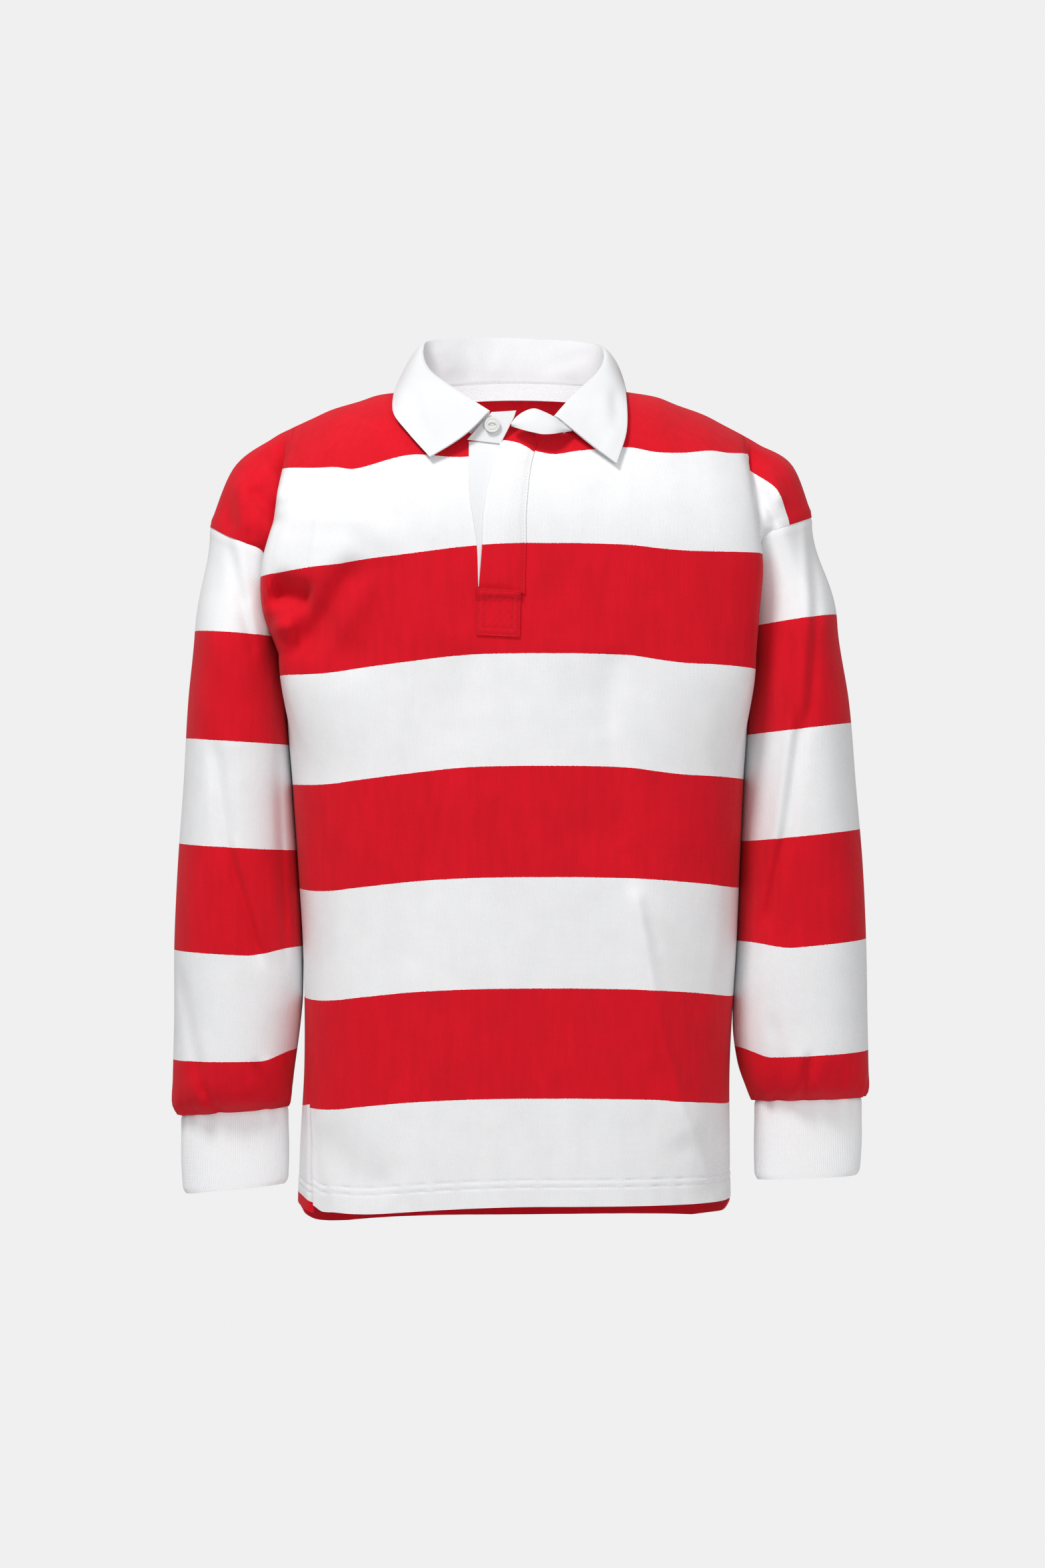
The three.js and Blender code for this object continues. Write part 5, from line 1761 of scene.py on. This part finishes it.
@dataclass(frozen=True)
class ThreadFinish:
    """Sewing thread.

    Attributes:
        colour: Linear colour.
        twist: Distance between the strands in metres.
    """

    colour: Colour = (0.88, 0.88, 0.90)
    twist: float = 0.0006

    def material(self, name: str) -> bpy.types.Material:
        """Make the finish under that name."""
        graph = Graph(name)
        place = graph.node("ShaderNodeSeparateXYZ", inputs={"Vector": graph.node("ShaderNodeTexCoord")["Object"]})
        strand = stripes(place["X"] + place["Z"], self.twist)
        shade = strand * 0.10 + graph.noise(1500, 1) * 0.08 + 0.86
        tone = graph.node("ShaderNodeCombineColor", inputs={"Red": shade, "Green": shade, "Blue": shade})["Color"]
        graph.dress(graph.blend(1.0, (*self.colour, 1.0), tone, "MULTIPLY"), 0.7, strand, 0.00005)
        return graph.material


class StitchTree:
    """A Geometry Nodes tree that lays stitches along lines of edges."""

    SIZES = (("Pitch", 0.003), ("Stitch length", 0.0022), ("Thread width", 0.0005))

    def __init__(self) -> None:
        """Build the tree once, with its named inputs."""
        tree = bpy.data.node_groups.new("stitch_run", "GeometryNodeTree")
        tree.interface.new_socket("Lines", in_out="INPUT", socket_type="NodeSocketGeometry")
        for name, size in self.SIZES:
            tree.interface.new_socket(name, in_out="INPUT", socket_type="NodeSocketFloat").default_value = size
        tree.interface.new_socket("Thread", in_out="INPUT", socket_type="NodeSocketMaterial")
        tree.interface.new_socket("Stitches", in_out="OUTPUT", socket_type="NodeSocketGeometry")
        add = tree.nodes.new
        link = tree.links.new
        given = add("NodeGroupInput").outputs
        curve = add("GeometryNodeMeshToCurve")
        link(given["Lines"], curve.inputs["Mesh"])
        points = add("GeometryNodeCurveToPoints")
        points.mode = "LENGTH"
        link(curve.outputs["Curve"], points.inputs["Curve"])
        link(given["Pitch"], points.inputs["Length"])
        turn = add("FunctionNodeAlignRotationToVector")
        turn.axis = "X"
        link(points.outputs["Tangent"], turn.inputs["Vector"])
        size = add("ShaderNodeCombineXYZ")
        link(given["Stitch length"], size.inputs["X"])
        link(given["Thread width"], size.inputs["Y"])
        link(given["Thread width"], size.inputs["Z"])
        ball = add("GeometryNodeMeshIcoSphere")
        ball.inputs["Radius"].default_value = 0.5
        ball.inputs["Subdivisions"].default_value = 1
        place = add("GeometryNodeInstanceOnPoints")
        link(points.outputs["Points"], place.inputs["Points"])
        link(ball.outputs["Mesh"], place.inputs["Instance"])
        link(turn.outputs["Rotation"], place.inputs["Rotation"])
        link(size.outputs["Vector"], place.inputs["Scale"])
        real = add("GeometryNodeRealizeInstances")
        link(place.outputs["Instances"], real.inputs["Geometry"])
        paint = add("GeometryNodeSetMaterial")
        link(real.outputs["Geometry"], paint.inputs["Geometry"])
        link(given["Thread"], paint.inputs["Material"])
        link(paint.outputs["Geometry"], add("NodeGroupOutput").inputs["Stitches"])
        self.tree = tree

    def sew(self, name: str, lines: list[Array], thread: bpy.types.Material, **sizes: float) -> bpy.types.Object:
        """Lay stitches along lines of points.

        Args:
            name: Name of the finished object.
            lines: Each line's points in millimetres.
            thread: Finish of the thread.
            **sizes: Sizes other than the tree's own, such as pitch, in metres.

        Returns:
            One plain mesh object with all the stitches.
        """
        points: list[list[float]] = []
        edges: list[tuple[int, int]] = []
        for line in lines:
            start = len(points)
            points.extend((line * MM).tolist())
            edges.extend((i, i + 1) for i in range(start, len(points) - 1))
        guide = bpy.data.objects.new(name + "_guide", bpy.data.meshes.new(name + "_guide"))
        guide.data.from_pydata(points, edges, [])
        bpy.context.scene.collection.objects.link(guide)
        modifier = guide.modifiers.new("stitches", "NODES")
        modifier.node_group = self.tree
        for item in self.tree.interface.items_tree:
            key = item.name.lower().replace(" ", "_")
            if item.in_out == "INPUT" and key in sizes:
                modifier[item.identifier] = sizes[key]
            if item.in_out == "INPUT" and item.name == "Thread":
                modifier[item.identifier] = thread
        graph = bpy.context.evaluated_depsgraph_get()
        mesh = bpy.data.meshes.new_from_object(guide.evaluated_get(graph))
        mesh.name = name
        mesh.shade_smooth()
        bpy.data.objects.remove(guide)
        sewn = bpy.data.objects.new(name, mesh)
        bpy.context.scene.collection.objects.link(sewn)
        return sewn


def hem_line(cloth: Cloth, above: float, keep: slice, lift: float = 0.1) -> Array:
    """A line at one distance above a cloth's last row, on its seen side.

    Args:
        cloth: The cloth.
        above: Distance up from its last row in millimetres.
        keep: Which columns the line crosses.
        lift: How far it stands off the surface.

    Returns:
        The line's points in millimetres.
    """
    _, along = cloth.widths()
    surface = cloth.surface(lift)
    line = []
    for c in range(*keep.indices(cloth.grid.shape[1])):
        up = (along[-1, c] - along[:, c])[::-1]
        line.append([np.interp(above, up, surface[::-1, c, axis]) for axis in range(3)])
    return np.array(line)


def column_line(cloth: Cloth, share: float, start: float, end: float, lift: float = 0.1) -> Array:
    """A line down a cloth at one share of its width, on its seen side."""
    surface = cloth.surface(lift)
    rows, cols = surface.shape[:2]
    place = share * (cols - 1)
    c = min(int(place), cols - 2)
    line = mix(surface[:, c], surface[:, c + 1], place - c)
    return line[int(start * (rows - 1)):int(end * (rows - 1)) + 1]


@dataclass
class Button:
    """The collar's button: a flat rim round a sunk eye with two holes for the thread.

    Attributes:
        place: Where the middle of its back is, in millimetres.
        tilt: How far it leans back, in radians.
        radius: Radius of the rim.
        height: Height of the rim.
        sink: Depth of the eye.
        eye: Half length and half width of the eye.
    """

    place: tuple[float, float, float] = (-22.5, -95.7, -38.4)
    tilt: float = 0.06
    radius: float = 6.9
    height: float = 2.8
    sink: float = 1.1
    eye: tuple[float, float] = (3.9, 2.0)
    sides: int = 72

    def top_height(self, x: Array, y: Array) -> Array:
        """Height of the button's face at places on it."""
        half_length, half_width = self.eye
        bow = (half_length ** 2 + half_width ** 2) / (2 * half_width)
        lens = np.hypot(x, np.abs(y) + bow - half_width) / bow
        r = np.hypot(x, y)
        round_over = np.maximum(r - (self.radius - 0.7), 0) / 0.7
        eye = self.sink * smooth((1 - lens) / 0.12)
        holes = sum(0.5 * smooth((0.85 - np.hypot(x - side * 1.9, y)) / 0.25) for side in (-1, 1))
        ring = 0.3 * np.exp(-(((r - 4.7) / 0.45) ** 2))
        return self.height - eye - holes - ring - 0.7 * (1 - np.sqrt(np.maximum(1 - round_over ** 2, 0)))

    def place_points(self, points: Array) -> Array:
        """Move points from the button's own frame, with its face up, to its place on the band."""
        c = math.cos(self.tilt)
        s = math.sin(self.tilt)
        x, y, up = np.moveaxis(points, -1, 0)
        return np.stack([x, -up * c - y * s, y * c - up * s], axis=-1) + np.array(self.place)

    def build(self, material: bpy.types.Material) -> bpy.types.Object:
        """Make the button as a closed mesh.

        Args:
            material: Its finish.

        Returns:
            The new object.
        """
        radii = np.concatenate([np.linspace(0.15, 6.2, 34), self.radius - 0.7 + 0.7 * np.sin(np.linspace(0.2, 1, 6) * np.pi / 2)])
        angle = 2 * np.pi * np.arange(self.sides) / self.sides
        r, a = np.meshgrid(radii, angle, indexing="ij")
        top = np.stack([r * np.cos(a), r * np.sin(a), self.top_height(r * np.cos(a), r * np.sin(a))], axis=-1)
        back_radii = np.array([self.radius, self.radius - 0.15, self.radius - 0.6, 0.15])
        back_heights = np.array([0.7, 0.3, 0.0, 0.0])
        r, a = np.meshgrid(back_radii, angle, indexing="ij")
        back = np.stack([r * np.cos(a), r * np.sin(a), np.broadcast_to(back_heights[:, None], r.shape)], axis=-1)
        rings = np.concatenate([top, back])
        poles = np.array([[0, 0, float(self.top_height(np.array(0.0), np.array(0.0)))], [0, 0, 0]])
        places = self.place_points(np.concatenate([rings.reshape(-1, 3), poles]))
        faces: list[tuple[int, ...]] = []
        n = self.sides
        for ring in range(len(rings) - 1):
            for k in range(n):
                after = (k + 1) % n
                faces.append((ring * n + k, (ring + 1) * n + k, (ring + 1) * n + after, ring * n + after))
        first = len(rings) * n
        last = (len(rings) - 1) * n
        faces.extend((first, k, (k + 1) % n) for k in range(n))
        faces.extend((first + 1, last + (k + 1) % n, last + k) for k in range(n))
        mesh = bpy.data.meshes.new("button_disc")
        mesh.from_pydata((places * MM).tolist(), [], faces)
        mesh.materials.append(material)
        mesh.shade_smooth()
        piece = bpy.data.objects.new("button_disc", mesh)
        bpy.context.scene.collection.objects.link(piece)
        return piece

    def thread_lines(self) -> list[Array]:
        """Lines of the thread that crosses the eye from hole to hole."""
        x = np.linspace(-2.0, 2.0, 13)
        up = self.height - self.sink + 0.35 * np.cos(x / 2.0 * np.pi / 2)
        return [self.place_points(np.stack([x, np.full_like(x, y), up], axis=-1)) for y in (-0.42, 0.0, 0.42)]


class Studio:
    """Camera, lights, floor and background."""

    DISTANCE = 3.5
    VIEW_HEIGHT = 1.4112
    CENTRE = (0.004, -0.3528)
    PALE = 0.87
    AMBIENT = 0.545

    def build(self) -> None:
        """Set up the whole studio."""
        scene = bpy.context.scene
        data = bpy.data.cameras.new("photo_camera")
        data.sensor_fit = "VERTICAL"
        data.angle_y = 2 * math.atan(self.VIEW_HEIGHT / 2 / self.DISTANCE)
        camera = bpy.data.objects.new("photo_camera", data)
        camera.location = (self.CENTRE[0], -self.DISTANCE, self.CENTRE[1])
        camera.rotation_euler = (math.pi / 2, 0, 0)
        scene.collection.objects.link(camera)
        scene.camera = camera
        scene.view_settings.view_transform = "Standard"
        self.world()
        middle = (0.0, 0.0, self.CENTRE[1])
        self.light("key", (-0.85, -1.35, 1.75), middle, 0.6, 41)
        self.light("front", (0.7, -3.1, 0.1), middle, 1.4, 26)
        self.light("neck", (0.0, -0.03, -0.1), (0.0, 0.07, 0.0), 0.06, 0.08)
        self.floor()

    def world(self) -> None:
        """Surround the shirt with even pale light, dimmer on the cloth than it looks behind it."""
        world = bpy.data.worlds.new("studio")
        world.use_nodes = True
        tree = world.node_tree
        background = tree.nodes["Background"]
        background.inputs["Color"].default_value = grey(self.PALE)
        path = tree.nodes.new("ShaderNodeLightPath")
        strength = tree.nodes.new("ShaderNodeMapRange")
        strength.inputs["To Min"].default_value = self.AMBIENT
        tree.links.new(path.outputs["Is Camera Ray"], strength.inputs["Value"])
        tree.links.new(strength.outputs["Result"], background.inputs["Strength"])
        bpy.context.scene.world = world

    def light(self, name: str, place: Colour, target: Colour, size: float, watts: float) -> None:
        """Add a soft square light.

        Args:
            name: Name of the lamp.
            place: Where it stands, in metres.
            target: What it looks at.
            size: Length of its side.
            watts: Its power.
        """
        data = bpy.data.lights.new(name, "AREA")
        data.size = size
        data.energy = watts
        lamp = bpy.data.objects.new(name, data)
        lamp.location = place
        aim = np.array(target) - np.array(place)
        yaw = math.atan2(aim[0], -aim[1])
        pitch = math.atan2(math.hypot(aim[0], aim[1]), -aim[2])
        lamp.rotation_euler = (pitch, 0, yaw + math.pi)
        bpy.context.scene.collection.objects.link(lamp)

    def floor(self) -> None:
        """Add the plain pale floor below the shirt."""
        count = 96
        ring = [(0.9 * math.cos(2 * math.pi * i / count), 0.9 * math.sin(2 * math.pi * i / count), -1.3) for i in range(count)]
        mesh = bpy.data.meshes.new("floor")
        mesh.from_pydata(ring, [], [tuple(range(count))])
        graph = Graph("pale_floor")
        graph.dress(grey(0.85), 0.9, graph.noise(30), 0.0002)
        mesh.materials.append(graph.material)
        floor = bpy.data.objects.new("floor", mesh)
        bpy.context.scene.collection.objects.link(floor)


class RugbyShirt:
    """The whole shirt, piece by piece."""

    JERSEY = 1.5
    SLOTS = {
        "cuff": "white_rib",
        "collar": "white_twill",
        "placket_under": "white_twill",
        "band": "white_twill",
        "neck_tape": "white_tape",
        "button": "white_button",
    }

    def __init__(self) -> None:
        """Make the finishes and the stitch tree."""
        self.jersey = JerseyFinish().material("hooped_jersey")
        self.twill = TwillFinish().material("white_twill")
        self.rib = RibFinish().material("white_rib")
        self.tape = HerringboneFinish().material("white_tape")
        self.plastic = PlasticFinish().material("white_plastic")
        self.threads = {
            "white": ThreadFinish().material("white_thread"),
            # The red thread is darkened far below the cloth's red: painted shade that stands for the shadow round each
            # stitch.
            "red": ThreadFinish(colour=(0.30, 0.006, 0.012)).material("red_thread"),
        }
        self.stitches = StitchTree()
        self.front_panel = BodyPanel(Face.FRONT)
        self.back_panel = BodyPanel(Face.BACK)
        self.cloths: dict[str, Cloth] = {}

    def shape(self) -> None:
        """Work out every cloth, each from those it is sewn to."""
        front = self.front_panel.cloth(self.JERSEY)
        back = self.back_panel.cloth(self.JERSEY)
        self.cloths = {"front_panel": front, "back_panel": back}
        for side in Side:
            name = side.name.lower()
            sleeve = Sleeve(side).cloth(front, back, self.front_panel.yoke_rows, self.JERSEY)
            self.cloths[f"sleeve_{name}"] = sleeve
            self.cloths[f"cuff_{name}"] = Cuff(side).cloth(sleeve)
        self.cloths["collar"] = Collar().cloth(self.front_panel, front, back)
        self.cloths["neck_tape"] = tape_cloth(self.back_panel, back)
        self.cloths.update(FrontOpening(self.front_panel).cloths())

    def dress(self) -> None:
        materials = {
            "white_rib": self.rib,
            "white_twill": self.twill,
            "white_tape": self.tape,
            "hooped_jersey": self.jersey,
        }
        for node, cloth in self.cloths.items():
            slot = next((s for start, s in self.SLOTS.items() if node.startswith(start)), "hooped_jersey")
            piece = cloth.build(materials[slot])
            self.attach(piece, node, slot)
            width, length = cloth.flat_size()
            held = "folded" if node == "collar" else "draped"
            min(cloth.area(), width * length)
            LOG.info("%s: cut %.0f x %.0f mm, %.4f m2", piece.name, width * 1000, length * 1000, cloth.area())

    def attach(self, piece: bpy.types.Object, node: str | None, slot: str) -> None:
        """Make a piece ride, and stand for its node."""
        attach(piece, BODY)
        if node:
            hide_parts(node)

    def sew(self) -> None:
        """Lay the stitches that show, and fit the button."""
        white = [hem_line(self.cloths[name], above, slice(3, -3)) for name in ("front_panel", "back_panel")
                 for above in HEM_STITCHES]
        white += self._collar_lines()
        red: list[Array] = []
        strip = self.cloths["placket_over"]
        for share in (0.94,):
            line = column_line(strip, share, 0.0, 1.0)
            is_red = hoop_at(line[:, 0], line[:, 2]) % 2 < 1
            cuts = np.nonzero(np.diff(is_red.astype(int)))[0] + 1
            for part, colour in zip(np.split(line, cuts), np.split(is_red, cuts)):
                if len(part) > 1:
                    (red if colour[0] else white).append(part)
        patch = self.cloths["locker_patch"]
        for inner in (0.05, 0.185):
            red += [column_line(patch, share, inner, 1 - inner) for share in (inner, 1 - inner)]
            turned = patch.surface(0.1)
            for row in (inner, 1 - inner):
                k = round(row * (len(turned) - 1))
                red.append(turned[k, k if row < 0.5 else len(turned) - 1 - k:len(turned) - min(k, len(turned) - 1 - k)])
        # The red stitches use the darkened red thread, whose colour carries painted shade.
        for colour, lines in (("white", white), ("red", red)):
            piece = self.stitches.sew(f"{colour}_stitches", lines, self.threads[colour])
            self.attach(piece, None, "white_twill" if colour == "white" else "hooped_jersey")
            LOG.info("%s: %d faces", piece.name, len(piece.data.polygons))
        button = Button()
        self.attach(button.build(self.plastic), "button", "white_button")
        sizes = {"pitch": 0.0004, "stitch_length": 0.0009, "thread_width": 0.0005}
        thread = self.stitches.sew("button_thread", button.thread_lines(), self.threads["white"], **sizes)
        self.attach(thread, None, "white_button")

    def _collar_lines(self) -> list[Array]:
        """The line of stitches that runs inside the collar leaf's free edges."""
        collar = self.cloths["collar"]
        across, along = collar.widths()
        surface = collar.surface(-0.1)
        rows = np.nonzero(along[-1, 0] - along[:, 0] > COLLAR_STITCH)[0][-1]
        ends = []
        for sign in (1, -1):
            line = []
            for r in range(Collar.stand_rows + 3, rows):
                place = (across[r] - across[r, 0])[::sign] if sign > 0 else across[r, -1] - across[r, ::-1]
                points = surface[r, ::sign]
                line.append([np.interp(COLLAR_STITCH, place, points[:, axis]) for axis in range(3)])
            ends.append(np.array(line))
        return [hem_line(collar, COLLAR_STITCH, slice(5, -5), -0.1), *ends]


def main() -> None:
    """Build the studio and the shirt, in order."""
    logging.basicConfig(level=logging.INFO, format="%(name)s: %(message)s")
    Studio().build()
    shirt = RugbyShirt()
    shirt.shape()
    shirt.dress()
    shirt.sew()


if __name__ == "__main__":
    main()
